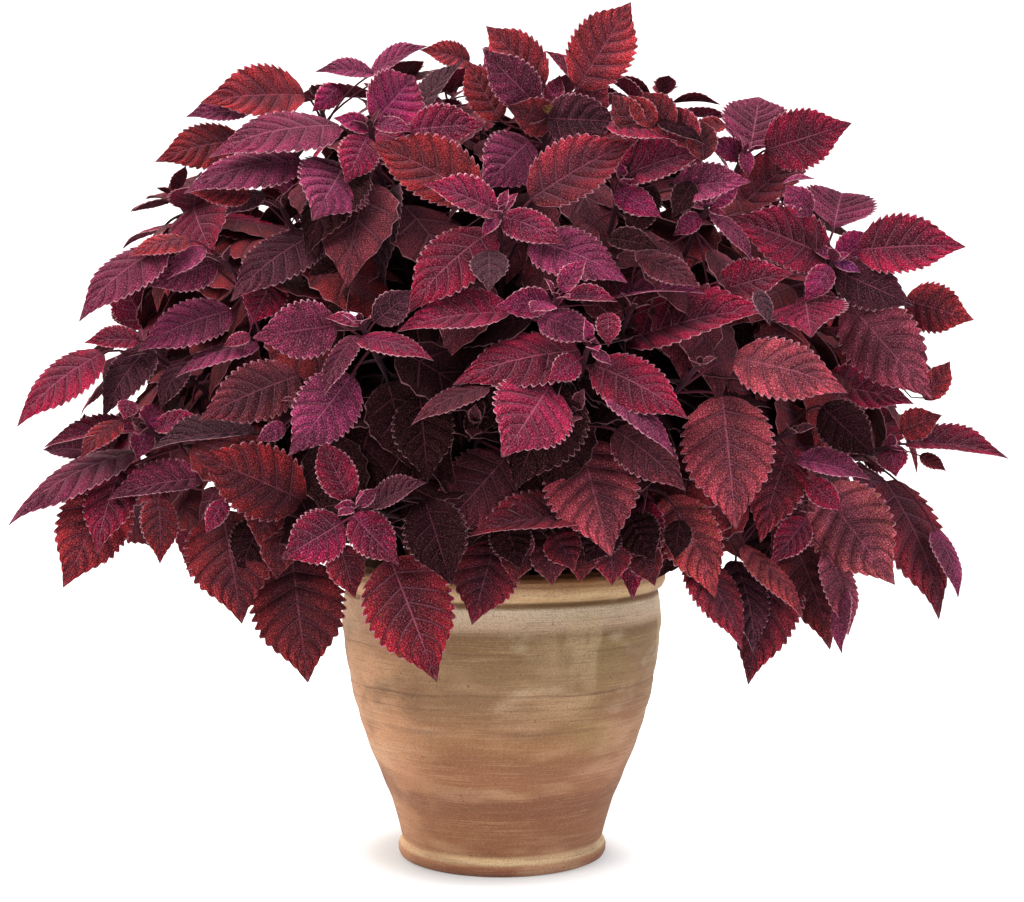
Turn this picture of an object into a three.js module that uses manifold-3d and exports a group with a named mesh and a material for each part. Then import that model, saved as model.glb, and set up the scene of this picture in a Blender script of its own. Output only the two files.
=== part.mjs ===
import * as THREE from 'three';
import { mergeVertices } from 'three/addons/utils/BufferGeometryUtils.js';
import Module from 'manifold-3d';

// A bushy coleus in a thrown terracotta pot, in millimetres, with Z up.
// The origin is the centre of the pot's flat base, and the plant's front faces -Y.

const wasm = await Module();
wasm.setup();

// ---------------------------------------------------------------- driving dimensions

const potHeight = 257;
const potRadius = 143;
const potWall = 12;
const potFloor = 15;
const potSides = 24;
const rollRadius = 11;
const fitGap = 0.3;

const soilLevel = 226;
const soilCrown = 6;
const holeDepth = 50;
const neckHeight = 14;

const stemRadius = 4.6;
const tipRadius = 2.2;
const branchRadius = 3;
const stemSides = 4;
const straightTip = 50;
const mainSteps = 4;
const sideSteps = 2;
const frontFork = 3;
const backFork = 2;

const bladeThickness = 1.9;
const tipThinning = 0.4;
const stalkRadius = 1.8;
const rootPastAxis = 2;
const largeLeaf = 82;
const smallLeaf = 52;

// The leaf canopy is a dome, on which the growing points sit.
const domeCentre = new THREE.Vector3(0, 0, 380);
const domeRadii = new THREE.Vector3(360, 280, 300);

// The front leaves are set out by sighting from an eye point through an upright board of squares.
const eye = new THREE.Vector3(8.7, -1540, 404);
const eyeTilt = THREE.MathUtils.degToRad(1.95);
const boardReach = 1763;
const boardCentre = { across: 512, down: 451 };

// ---------------------------------------------------------------- solids

// A profile of radius and height pairs, turned round the pot's axis.
function turned(profile) {
  const geometry = new THREE.LatheGeometry(profile, potSides);
  geometry.rotateX(Math.PI / 2);
  return solidOf(geometry);
}

function solidOf(geometry) {
  const bare = geometry.clone();
  bare.deleteAttribute('normal');
  bare.deleteAttribute('uv');
  const weldWithin = 1e-4;
  const merged = mergeVertices(bare, weldWithin);
  return solidFrom(merged.attributes.position.array, merged.index.array);
}

function solidFrom(positions, triangles) {
  return new wasm.Manifold(new wasm.Mesh({
    numProp: 3,
    vertProperties: new Float32Array(positions),
    triVerts: new Uint32Array(triangles),
  }));
}

function meshOf(name, solid, material) {
  const { vertProperties, triVerts } = solid.getMesh();
  const geometry = new THREE.BufferGeometry();
  geometry.setAttribute('position', new THREE.BufferAttribute(vertProperties, 3));
  geometry.setIndex(new THREE.BufferAttribute(triVerts, 1));
  geometry.computeVertexNormals();
  const mesh = new THREE.Mesh(geometry, material);
  mesh.name = name;
  return mesh;
}

// A body made of rings of points, closed by a flat fan at each end.
function tube(points, radii, sides) {
  const positions = [];
  const triangles = [];
  const side = new THREE.Vector3(1, 0, 0);
  points.forEach((point, ring) => {
    const before = points[Math.max(ring - 1, 0)];
    const after = points[Math.min(ring + 1, points.length - 1)];
    const along = after.clone().sub(before).normalize();
    side.addScaledVector(along, -side.dot(along)).normalize();
    const other = along.clone().cross(side);
    for (let corner = 0; corner < sides; corner += 1) {
      const angle = (2 * Math.PI * corner) / sides;
      const spot = point.clone()
        .addScaledVector(side, radii[ring] * Math.cos(angle))
        .addScaledVector(other, radii[ring] * Math.sin(angle));
      positions.push(spot.x, spot.y, spot.z);
    }
  });
  for (let ring = 0; ring < points.length - 1; ring += 1) {
    for (let corner = 0; corner < sides; corner += 1) {
      const here = ring * sides + corner;
      const next = ring * sides + ((corner + 1) % sides);
      triangles.push(here, next, next + sides, here, next + sides, here + sides);
    }
  }
  const last = (points.length - 1) * sides;
  for (let corner = 1; corner < sides - 1; corner += 1) {
    triangles.push(0, corner + 1, corner);
    triangles.push(last, last + corner, last + corner + 1);
  }
  return solidFrom(positions, triangles);
}

// ---------------------------------------------------------------- pot and soil

// The outside, from the middle of the base up to the top of the rim.
function potOutside() {
  const foot = [[0, 0], [89.5, 0], [91, 7.8]];
  const belly = new THREE.SplineCurve([
    new THREE.Vector2(87, 14),
    new THREE.Vector2(96.5, 46.7),
    new THREE.Vector2(117.9, 100.4),
    new THREE.Vector2(131, 145),
    new THREE.Vector2(138, 189),
  ]).getPoints(5);
  const collar = [[138.5, 213], [137.6, 230]];
  const rollCentre = { radius: potRadius - rollRadius, height: potHeight - 13.5 };
  const [rollFrom, rollTo] = [-0.9, 1.05];
  const roll = new THREE.Path();
  roll.absarc(rollCentre.radius, rollCentre.height, rollRadius, rollFrom, rollTo, false);
  const rim = [[131, potHeight]];
  return [
    ...foot.map(profilePoint),
    ...belly,
    ...collar.map(profilePoint),
    ...roll.getPoints(3),
    ...rim.map(profilePoint),
  ];
}

function profilePoint([radius, height]) {
  return new THREE.Vector2(radius, height);
}

// The inside, from the floor up to the mouth.
const mouthRadius = 138 - potWall;
const potInside = [
  [74, potFloor],
  [96, 78],
  [119, 146],
  [mouthRadius, 190],
  [mouthRadius, potHeight - 4],
];

function makePot() {
  const inside = [...potInside].reverse().map(profilePoint);
  return turned([...potOutside(), ...inside, new THREE.Vector2(0, potFloor)]);
}

// The soil rests on the pot's floor and keeps the fit gap to its wall, with a plain hole for each stem.
function makeSoil(feet) {
  const wall = potInside.slice(0, -1).map(([radius, height]) => [radius - fitGap, height]);
  wall[0][1] += fitGap;
  const profile = [
    [0, potFloor + fitGap],
    ...wall,
    [mouthRadius - fitGap, soilLevel],
    [0, soilLevel + soilCrown],
  ].map(profilePoint);
  const holeRadius = stemRadius + 1.5 * fitGap;
  let soil = turned(profile);
  for (const [x, y] of feet) {
    const bottom = new THREE.Vector3(x, y, soilLevel - holeDepth - fitGap);
    const top = new THREE.Vector3(x, y, potHeight);
    soil = soil.subtract(tube([bottom, top], [holeRadius, holeRadius], stemSides));
  }
  return soil;
}

// ---------------------------------------------------------------- sighting

// The point seen through a square of the board, this far in front of the pot's axis.
function sight([across, down], forward) {
  const rise = boardCentre.down - down;
  const ray = new THREE.Vector3(
    across - boardCentre.across,
    boardReach * Math.cos(eyeTilt) + rise * Math.sin(eyeTilt),
    rise * Math.cos(eyeTilt) - boardReach * Math.sin(eyeTilt),
  );
  return ray.multiplyScalar((-eye.y - forward) / ray.y).add(eye);
}

// Millimetres to a square of the board, this far in front of the pot's axis.
function squareSize(forward) {
  return (-eye.y - forward) / boardReach;
}

// The growing point seen through a square, on the dome or sunk under it.
function onDome(square, sunk) {
  const ray = sight(square, 0).sub(eye).normalize();
  const start = eye.clone().sub(domeCentre).divide(domeRadii);
  const step = ray.clone().divide(domeRadii);
  const a = step.dot(step);
  const b = start.dot(step);
  const c = start.dot(start) - 1;
  const reach = (-b - Math.sqrt(Math.max(0, b * b - a * c))) / a;
  return eye.clone().addScaledVector(ray, reach + sunk);
}

// The way a shoot points: square to the dome, and turned up towards the light.
function growthAt(point) {
  const lift = 0.35;
  const outward = point.clone().sub(domeCentre).divide(domeRadii).divide(domeRadii).normalize();
  outward.z += lift;
  return outward.normalize();
}

// ---------------------------------------------------------------- leaf blades

// The width of a blade this far along it, as a share of its widest.
function ovate(t) {
  const atWidest = 0.393;
  return (t ** 0.5 * (1 - t) ** 0.95) / atWidest;
}

// A hanging blade domes over, and any other is cupped up from its midrib.
function bendOf(along) {
  const hanging = { cup: -0.1, arch: 0.09 };
  const spread = { cup: 0.2, arch: 0.06 };
  return along.z < -0.25 ? hanging : spread;
}

// A leaf is its stalk's root, the base and tip of its blade, the way its face looks, and its width.
function leafFrame({ root, base, tip, facing }) {
  const along = tip.clone().sub(base);
  const length = along.length();
  along.normalize();
  const face = facing.clone().addScaledVector(along, -facing.dot(along)).normalize();
  const across = along.clone().cross(face);
  const stalk = base.clone().sub(root);
  return { along, length, face, across, stalk };
}

// Teeth run forward along each edge, with a notch behind each.
function edgeStations(teeth) {
  const [from, to] = [0.07, 0.9];
  const notchWidth = 0.87;
  const toothWidth = 1.03;
  const pitch = (to - from) / teeth;
  const stations = [];
  for (let tooth = 0; tooth < teeth; tooth += 1) {
    const notch = from + tooth * pitch;
    stations.push([notch, tooth === 0 ? 1 : notchWidth]);
    stations.push([notch + 0.8 * pitch, toothWidth]);
  }
  return stations;
}

// A blade's stalk is left off from this far along it, where it is tested beside its own stem.
const bareFrom = 0.3;
const barePoint = 0.25;

function leafSolid(leaf, { edge, ribs, thickness, stalkSize, withStalk = true }) {
  const { along, length, face, across, stalk } = leafFrame(leaf);
  const half = leaf.width / 2;
  const { cup, arch } = bendOf(along);
  const positions = [];
  const triangles = [];
  const add = (point) => positions.push(point.x, point.y, point.z) / 3 - 1;
  const place = (t, aside, lift) => leaf.base.clone()
    .addScaledVector(along, t * length)
    .addScaledVector(across, aside)
    .addScaledVector(face, arch * length * 4 * t * (1 - t) + cup * Math.abs(aside) + lift);

  // The stalk is a long three-sided spike, with its point sunk past the stem's axis.
  const way = stalk.clone().normalize();
  const from = withStalk ? 0 : bareFrom;
  const joint = squareTo(withStalk ? way.clone().add(along).normalize() : along, across);
  const start = place(from, 0, 0);
  const point = withStalk ? leaf.root.clone().addScaledVector(way, -rootPastAxis) : place(barePoint, 0, 0);
  const root = add(point);
  const right = add(start.clone().addScaledVector(joint.side, stalkSize));
  const left = add(start.clone().addScaledVector(joint.side, -stalkSize));
  const above = add(start.clone().addScaledVector(joint.up, stalkSize));
  triangles.push(root, right, above, root, above, left, root, left, right);

  const tip = add(leaf.tip);
  const usedRibs = ribs.filter((t) => t > from);
  const ribLine = (lift) => usedRibs.map((t) => [t, add(place(t, 0, lift * (1 - tipThinning * t)))]);
  const top = [[from, above], ...ribLine(thickness / 2), [1, tip]];
  const bottom = [...ribLine(-thickness / 2), [1, tip]];
  triangles.push(right, left, bottom[0][1]);
  for (const side of [1, -1]) {
    const rim = edge.filter(([t]) => t > from)
      .map(([t, share]) => [t, add(place(t, side * half * share * ovate(t), 0))]);
    const outline = [[from, side > 0 ? right : left], ...rim, [1, tip]];
    zip(outline, top, side > 0, triangles);
    zip(outline, bottom, side < 0, triangles);
  }
  return solidFrom(positions, triangles);
}

// Two directions square to a way, the first one near the blade's own across.
function squareTo(way, across) {
  const side = across.clone().addScaledVector(way, -across.dot(way)).normalize();
  return { side, up: side.clone().cross(way) };
}

// Fills the strip between an edge and the rib with triangles, in step along the leaf.
function zip(outline, rib, rightHanded, triangles) {
  let i = 0;
  let j = 0;
  const push = (a, b, c) => (rightHanded ? triangles.push(a, b, c) : triangles.push(a, c, b));
  while (i < outline.length - 2 || j < rib.length - 2) {
    const outlineNext = i < outline.length - 2 ? outline[i + 1][0] : Infinity;
    const ribNext = j < rib.length - 2 ? rib[j + 1][0] : Infinity;
    if (outlineNext <= ribNext) {
      push(rib[j][1], outline[i][1], outline[i + 1][1]);
      i += 1;
    } else {
      push(rib[j][1], outline[i][1], rib[j + 1][1]);
      j += 1;
    }
  }
  push(rib[j][1], outline[i][1], outline[i + 1][1]);
}

// ---------------------------------------------------------------- leaves from the board

const broadest = 0.72;
const slimmest = 0.56;
const foreshortened = 1.03;
const stalkLean = 0.3;

// How far down its shoot a leaf is rooted: the larger it is, the older and the lower.
function rootDepth(length) {
  const deepest = 44;
  return Math.min(0.42 * length, deepest);
}

function climbs({ base, tip }) {
  return base[1] - tip[1] > 0.5 * Math.abs(tip[0] - base[0]);
}

// A leaf sighted from the front: the squares of its blade's base and tip, and the width that shows.
// A leaf that climbs leans away from the eye, and the others lean towards it.
function sightedLeaf(shoot, { base, tip, width, away = climbs({ base, tip }) }) {
  const nominal = -shoot.heart.y;
  const span = sight(tip, nominal).distanceTo(sight(base, nominal));
  const seenWidth = width * squareSize(nominal);
  const length = Math.max(span * foreshortened, seenWidth / broadest);
  const fullWidth = THREE.MathUtils.clamp(seenWidth, slimmest * length, broadest * length);
  const root = shoot.heart.clone().addScaledVector(shoot.growth, -rootDepth(length));
  const rise = stalkLean * sight(base, -root.y).distanceTo(root);
  const baseForward = rise - root.y;
  const reach = Math.sqrt(length ** 2 - span ** 2) * (away ? -1 : 1);
  const baseAt = sight(base, baseForward);
  const tipAt = sight(tip, baseForward + reach);
  const along = tipAt.clone().sub(baseAt).normalize();
  const toEye = eye.clone().sub(baseAt).normalize();
  const open = toEye.clone().addScaledVector(along, -toEye.dot(along)).normalize();
  const edgeOn = along.clone().cross(open);
  if (edgeOn.z < 0) edgeOn.negate();
  const share = Math.min(1, seenWidth / fullWidth);
  const facing = open.multiplyScalar(share).addScaledVector(edgeOn, Math.sqrt(1 - share ** 2));
  const drift = { base: toEye, tip: eye.clone().sub(tipAt).normalize() };
  return { root, base: baseAt, tip: tipAt, facing, width: fullWidth, drift, length };
}

// ---------------------------------------------------------------- leaves by rule

// A seeded draw between 0 and 1, so that each run grows the same plant.
function seededDraw(seed) {
  let state = seed;
  return () => {
    state = (state + 0x6d2b79f5) | 0;
    let mixed = Math.imul(state ^ (state >>> 15), 1 | state);
    mixed = (mixed + Math.imul(mixed ^ (mixed >>> 7), 61 | mixed)) ^ mixed;
    return ((mixed ^ (mixed >>> 14)) >>> 0) / 4294967296;
  };
}

const pairs = [
  { length: 102, open: 98 },
  { length: 86, open: 78 },
  { length: 60, open: 50 },
];
const innerLength = 92;
const innerOpen = 120;
const innerFrom = 340;
const sag = 0.5;
const stalkShare = 0.26;
const skyward = 0.7;
const breadth = 0.7;
const up = new THREE.Vector3(0, 0, 1);

// A leaf turned round its shoot and opened from it by angles in degrees, with its blade hanging.
function turnedLeaf({ growth }, root, turn, open, length) {
  const level = up.clone().cross(growth).normalize();
  const upright = growth.clone().cross(level);
  const round = level.applyAxisAngle(growth, THREE.MathUtils.degToRad(turn));
  const opened = THREE.MathUtils.degToRad(open);
  const way = growth.clone().multiplyScalar(Math.cos(opened)).addScaledVector(round, Math.sin(opened));
  const hang = way.clone().addScaledVector(up, -sag).normalize();
  const base = root.clone().addScaledVector(way, stalkShare * length);
  const tip = base.clone().addScaledVector(hang, length);
  const facing = growth.clone().addScaledVector(up, skyward);
  const drift = { base: growth, tip: growth };
  return { root, base, tip, facing, width: breadth * length, drift, length };
}

// A value that a draw spreads evenly round its middle.
function spread(middle, range, draw) {
  return middle + range * (draw() - 0.5);
}

function opposite(shoot, rootAt, firstTurn, { length, open }, draw) {
  return [0, 180].map((half) => {
    const grown = length * spread(1, 0.24, draw);
    const turn = spread(firstTurn + half, 24, draw);
    return turnedLeaf(shoot, rootAt(grown), turn, spread(open, 18, draw), grown);
  });
}

// Opposite pairs, each a quarter turn round from the last, larger and more open further down.
function pairedLeaves(shoot, draw) {
  const firstTurn = 90 * draw();
  const rootAt = (length) => shoot.heart.clone().addScaledVector(shoot.growth, -rootDepth(length));
  return pairs.flatMap((pair, count) => opposite(shoot, rootAt, firstTurn + 90 * count, pair, draw));
}

// One more leaf, on the last curved stretch of the shoot, points back into the bush and fills its inside.
function innerLeaf(shoot, draw) {
  const [before, after] = shoot.line.slice(-3, -1);
  const upTheStretch = 0.7;
  const root = before.clone().lerp(after, upTheStretch);
  return turnedLeaf(shoot, root, 360 * draw(), innerOpen, innerLength);
}

// ---------------------------------------------------------------- stems

// A shoot's line: out of the soil or its parent stem, over in a curve, then straight to the heart.
function stemLine(start, leave, heart, growth, steps) {
  const straight = heart.clone().addScaledVector(growth, -straightTip);
  const gap = start.distanceTo(straight);
  const [startPull, endPull] = [0.4, 0.3];
  const curve = new THREE.CubicBezierCurve3(
    start,
    start.clone().addScaledVector(leave, startPull * gap),
    straight.clone().addScaledVector(growth, -endPull * gap),
    straight,
  );
  return [...curve.getPoints(steps), heart];
}

function taper(count, from, to) {
  return Array.from({ length: count }, (_, ring) => from + ((to - from) * ring) / (count - 1));
}

// The main stem stands in its hole, and its side shoots fork off part of the way up.
function drawLines(stem) {
  const neck = new THREE.Vector3(...stem.foot, soilLevel + neckHeight);
  const [leader, ...sideShoots] = stem.shoots;
  leader.line = stemLine(neck, up, leader.heart, leader.growth, mainSteps);
  for (const shoot of sideShoots) {
    const { line } = leader;
    const leave = line[shoot.fork + 1].clone().sub(line[shoot.fork - 1]).normalize();
    shoot.line = stemLine(line[shoot.fork], leave, shoot.heart, shoot.growth, sideSteps);
  }
}

function makeStems({ foot, shoots: [leader, ...sideShoots] }) {
  const bottom = new THREE.Vector3(...foot, soilLevel - holeDepth);
  const radii = [stemRadius, ...taper(leader.line.length, stemRadius, tipRadius)];
  let solid = tube([bottom, ...leader.line], radii, stemSides);
  for (const { line } of sideShoots) {
    solid = solid.add(tube(line, taper(line.length, branchRadius, tipRadius), stemSides));
  }
  return solid;
}

// ---------------------------------------------------------------- keeping clear

function boxOf(solid) {
  const { min, max } = solid.boundingBox();
  return new THREE.Box3(new THREE.Vector3(...min), new THREE.Vector3(...max));
}

function meets(solid, box, others, allowed = 0) {
  return others.some((other) => {
    if (!box.intersectsBox(other.box)) return false;
    const shared = solid.intersect(other.solid);
    const touching = shared.volume() > allowed;
    shared.delete();
    return touching;
  });
}

// The places tried for a leaf: nearer or further along its sight lines, and then leaned.
const driftStep = 7;
const furthestStep = 9;
const leanStep = 16;
const leanCost = 1.5;
const shortestStalk = 6;
const sharpestFold = -0.6;
const rootOverlap = 8;
const tries = [];
for (let step = -furthestStep; step <= furthestStep; step += 1) {
  for (const lean of [0, 1, -1]) {
    tries.push({ step, lean, cost: Math.abs(step) + leanCost * Math.abs(lean) });
  }
}
tries.sort((a, b) => a.cost - b.cost);

function shifted(leaf, { step, lean }) {
  const base = leaf.base.clone().addScaledVector(leaf.drift.base, driftStep * step);
  const tip = leaf.tip.clone().addScaledVector(leaf.drift.tip, driftStep * step + leanStep * lean);
  if (base.distanceTo(leaf.root) < shortestStalk) {
    base.copy(tip).sub(leaf.root).setLength(shortestStalk).add(leaf.root);
  }
  return { ...leaf, base, tip };
}

function foldsBack(leaf) {
  const { along, stalk } = leafFrame(leaf);
  return stalk.normalize().dot(along) < sharpestFold;
}

const plainEdge = [[0.08, 1.12], [0.22, 1.12], [0.42, 1.12], [0.62, 1.15], [0.82, 1.25]];
const plainRibs = [0.33, 0.66];
const roomy = { edge: plainEdge, ribs: plainRibs, thickness: 4, stalkSize: 2.2 };
const roomyBlade = { ...roomy, withStalk: false };

function teethOf(length) {
  if (length > largeLeaf) return 4;
  return length > smallLeaf ? 3 : 2;
}

function finishOf({ length }) {
  const edge = edgeStations(teethOf(length));
  return { edge, ribs: [0.45], thickness: bladeThickness, stalkSize: stalkRadius };
}

// Takes the first place where a leaf meets no other stem's leaves, and if it can, none of its own.
function settle(leaf, others, own) {
  let fallback = null;
  for (const attempt of tries) {
    const moved = shifted(leaf, attempt);
    if (foldsBack(moved)) continue;
    const test = leafSolid(moved, roomy);
    const free = !meets(test, boxOf(test), others);
    test.delete();
    if (!free) continue;
    const solid = leafSolid(moved, finishOf(leaf));
    if (meets(solid, boxOf(solid), others)) continue;
    const blade = leafSolid(moved, roomyBlade);
    const ownFree = !meets(blade, boxOf(blade), own) && !meets(solid, boxOf(solid), own, rootOverlap);
    blade.delete();
    if (ownFree) return solid;
    fallback ??= solid;
  }
  return fallback;
}

// ---------------------------------------------------------------- the front, leaf by leaf

const frontStems = [
  {
    name: 'stem_crown',
    foot: [4, 0],
    shoots: [
      {
        heart: [547, 113],
        leaves: [
          { base: [536, 102], tip: [484, 47], width: 60 },
          { base: [545, 85], tip: [486, 26], width: 50 },
          { base: [577, 88], tip: [631, 2], width: 65 },
          { base: [545, 118], tip: [626, 122], width: 50 },
          { base: [580, 82], tip: [545, 51], width: 16 },
          { base: [500, 120], tip: [466, 60], width: 40 },
          { base: [530, 140], tip: [480, 190], width: 60 },
        ],
      },
      {
        heart: [480, 75],
        sunk: 90,
        leaves: [
          { base: [470, 62], tip: [420, 50], width: 25 },
          { base: [415, 115], tip: [463, 62], width: 22 },
        ],
      },
    ],
  },
  {
    name: 'stem_upper_left',
    foot: [-30, -20],
    shoots: [
      {
        heart: [370, 130],
        leaves: [
          { base: [374, 122], tip: [415, 76], width: 60 },
          { base: [367, 136], tip: [345, 184], width: 42 },
          { base: [410, 130], tip: [487, 125], width: 42 },
          { base: [340, 125], tip: [208, 158], width: 40 },
          { base: [345, 165], tip: [312, 221], width: 75 },
          { base: [302, 160], tip: [183, 194], width: 38 },
          { base: [395, 185], tip: [385, 290], width: 30 },
        ],
      },
      {
        heart: [318, 98],
        sunk: 45,
        leaves: [
          { base: [305, 95], tip: [200, 103], width: 50 },
          { base: [250, 112], tip: [186, 117], width: 25 },
          { base: [245, 140], tip: [155, 162], width: 45 },
          { base: [375, 75], tip: [315, 72], width: 18 },
          { base: [370, 75], tip: [428, 46], width: 18 },
        ],
      },
    ],
  },
  {
    name: 'stem_left_shoulder',
    foot: [-58, -4],
    shoots: [
      {
        heart: [282, 208],
        sunk: 30,
        leaves: [
          { base: [250, 195], tip: [187, 192], width: 32 },
          { base: [265, 193], tip: [224, 215], width: 20 },
          { base: [318, 232], tip: [230, 302], width: 50 },
          { base: [275, 275], tip: [250, 326], width: 45 },
          { base: [352, 262], tip: [301, 287], width: 35 },
        ],
      },
      {
        heart: [225, 262],
        sunk: 10,
        leaves: [
          { base: [232, 310], tip: [137, 352], width: 45 },
          { base: [217, 263], tip: [147, 287], width: 40 },
          { base: [205, 247], tip: [167, 280], width: 20 },
          { base: [190, 240], tip: [128, 257], width: 22 },
          { base: [165, 245], tip: [79, 322], width: 40 },
          { base: [258, 342], tip: [175, 378], width: 20 },
        ],
      },
    ],
  },
  {
    name: 'stem_far_left',
    foot: [-84, -20],
    shoots: [
      {
        heart: [146, 430],
        leaves: [
          { base: [135, 430], tip: [43, 448], width: 22 },
          { base: [155, 428], tip: [205, 420], width: 22 },
          { base: [258, 433], tip: [150, 450], width: 26 },
          { base: [135, 450], tip: [8, 526], width: 34 },
          { base: [125, 460], tip: [97, 555], width: 52 },
          { base: [203, 478], tip: [107, 500], width: 33 },
          { base: [115, 480], tip: [63, 588], width: 72 },
          { base: [120, 420], tip: [80, 460], width: 24 },
        ],
      },
      {
        heart: [150, 352],
        sunk: 15,
        leaves: [
          { base: [103, 352], tip: [17, 427], width: 42 },
          { base: [150, 345], tip: [103, 418], width: 40 },
          { base: [185, 360], tip: [160, 410], width: 25 },
          { base: [140, 340], tip: [84, 343], width: 24 },
        ],
      },
    ],
  },
  {
    name: 'stem_left_heart',
    foot: [-40, -44],
    shoots: [
      {
        heart: [361, 324],
        leaves: [
          { base: [337, 325], tip: [252, 338], width: 58 },
          { base: [375, 322], tip: [412, 290], width: 35 },
          { base: [358, 338], tip: [434, 361], width: 25 },
          { base: [355, 335], tip: [324, 397], width: 25 },
          { base: [352, 375], tip: [289, 456], width: 65 },
        ],
      },
      {
        heart: [300, 400],
        sunk: 30,
        leaves: [
          { base: [300, 375], tip: [198, 421], width: 60 },
          { base: [303, 500], tip: [193, 452], width: 75 },
        ],
      },
    ],
  },
  {
    name: 'stem_lower_left',
    foot: [-66, -58],
    shoots: [
      {
        heart: [250, 500],
        sunk: 25,
        leaves: [
          { base: [222, 510], tip: [242, 624], width: 90 },
          { base: [292, 556], tip: [308, 683], width: 95 },
          { base: [158, 497], tip: [160, 564], width: 38 },
          { base: [225, 500], tip: [206, 534], width: 22 },
        ],
      },
    ],
  },
  {
    name: 'stem_low_heart',
    foot: [-36, -82],
    shoots: [
      {
        heart: [356, 506],
        leaves: [
          { base: [343, 522], tip: [281, 559], width: 55 },
          { base: [353, 515], tip: [399, 565], width: 45 },
          { base: [350, 500], tip: [320, 438], width: 40 },
          { base: [362, 505], tip: [427, 482], width: 28 },
          { base: [390, 558], tip: [437, 682], width: 92 },
          { base: [425, 500], tip: [452, 586], width: 64 },
        ],
      },
    ],
  },
  {
    name: 'stem_high_centre',
    foot: [-6, -24],
    shoots: [
      {
        heart: [500, 213],
        leaves: [
          { base: [500, 213], tip: [422, 184], width: 35 },
          { base: [502, 216], tip: [566, 246], width: 35 },
          { base: [492, 230], tip: [406, 315], width: 60 },
          { base: [480, 200], tip: [369, 143], width: 65 },
          { base: [530, 200], tip: [634, 142], width: 62 },
          { base: [530, 240], tip: [628, 283], width: 50 },
          { base: [489, 250], tip: [489, 292], width: 40 },
        ],
      },
    ],
  },
  {
    name: 'stem_centre',
    foot: [10, -50],
    shoots: [
      {
        heart: [589, 345],
        leaves: [
          { base: [580, 350], tip: [452, 385], width: 58 },
          { base: [588, 350], tip: [548, 380], width: 30 },
          { base: [550, 385], tip: [501, 458], width: 85 },
          { base: [592, 364], tip: [688, 419], width: 55 },
          { base: [608, 392], tip: [674, 457], width: 25 },
          { base: [488, 387], tip: [411, 425], width: 22 },
        ],
      },
      {
        heart: [556, 299],
        sunk: 6,
        leaves: [
          { base: [550, 300], tip: [495, 307], width: 32 },
          { base: [566, 296], tip: [618, 302], width: 18 },
          { base: [510, 312], tip: [396, 332], width: 38 },
          { base: [540, 316], tip: [600, 344], width: 35 },
          { base: [608, 312], tip: [608, 347], width: 26 },
        ],
      },
    ],
  },
  {
    name: 'stem_low_centre',
    foot: [-10, -90],
    shoots: [
      {
        heart: [475, 425],
        sunk: 40,
        leaves: [
          { base: [420, 395], tip: [428, 483], width: 62 },
          { base: [508, 455], tip: [435, 537], width: 75 },
          { base: [540, 440], tip: [526, 481], width: 38 },
        ],
      },
      {
        heart: [525, 515],
        sunk: 40,
        leaves: [
          { base: [495, 543], tip: [472, 625], width: 68 },
          { base: [555, 532], tip: [575, 571], width: 40 },
          { base: [560, 495], tip: [545, 566], width: 55 },
        ],
      },
    ],
  },
  {
    name: 'stem_low_middle',
    foot: [26, -82],
    shoots: [
      {
        heart: [576, 412],
        sunk: 20,
        leaves: [
          { base: [580, 440], tip: [611, 557], width: 97 },
          { base: [615, 430], tip: [686, 491], width: 50 },
        ],
      },
      {
        heart: [655, 478],
        sunk: 35,
        leaves: [
          { base: [645, 500], tip: [633, 601], width: 50 },
          { base: [668, 495], tip: [716, 599], width: 62 },
          { base: [690, 555], tip: [742, 650], width: 45 },
          { base: [680, 520], tip: [675, 560], width: 30 },
          { base: [590, 515], tip: [467, 537], width: 40 },
        ],
      },
    ],
  },
  {
    name: 'stem_upper_middle',
    foot: [32, -14],
    shoots: [
      {
        heart: [622, 183],
        leaves: [
          { base: [618, 178], tip: [714, 151], width: 42 },
          { base: [615, 190], tip: [662, 218], width: 30 },
          { base: [672, 190], tip: [752, 182], width: 38 },
          { base: [607, 125], tip: [680, 142], width: 20 },
          { base: [655, 125], tip: [628, 95], width: 25 },
        ],
      },
      {
        heart: [707, 205],
        leaves: [
          { base: [712, 212], tip: [752, 262], width: 18 },
          { base: [715, 292], tip: [794, 273], width: 40 },
        ],
      },
    ],
  },
  {
    name: 'stem_upper_right',
    foot: [46, 10],
    shoots: [
      {
        heart: [745, 152],
        leaves: [
          { base: [750, 150], tip: [759, 97], width: 68 },
          { base: [765, 150], tip: [852, 123], width: 60 },
          { base: [735, 212], tip: [818, 147], width: 50 },
          { base: [745, 155], tip: [705, 140], width: 25 },
          { base: [725, 125], tip: [688, 132], width: 18 },
        ],
      },
    ],
  },
  {
    name: 'stem_right',
    foot: [74, -16],
    shoots: [
      {
        heart: [833, 262],
        leaves: [
          { base: [836, 258], tip: [871, 233], width: 32 },
          { base: [830, 266], tip: [804, 303], width: 28 },
          { base: [858, 250], tip: [966, 247], width: 58 },
          { base: [835, 270], tip: [914, 306], width: 50 },
          { base: [828, 257], tip: [726, 217], width: 60 },
          { base: [808, 300], tip: [811, 338], width: 80 },
          { base: [848, 303], tip: [933, 400], width: 75 },
          { base: [834, 228], tip: [842, 193], width: 75, away: true },
        ],
      },
      {
        heart: [880, 345],
        sunk: 20,
        leaves: [
          { base: [905, 300], tip: [974, 320], width: 50 },
          { base: [925, 400], tip: [950, 361], width: 28 },
          { base: [820, 385], tip: [914, 404], width: 45 },
        ],
      },
    ],
  },
  {
    name: 'stem_right_middle',
    foot: [44, -44],
    shoots: [
      {
        heart: [698, 366],
        sunk: 8,
        leaves: [
          { base: [734, 358], tip: [848, 393], width: 60 },
          { base: [722, 395], tip: [736, 530], width: 93 },
        ],
      },
      {
        heart: [632, 308],
        sunk: 30,
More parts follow.
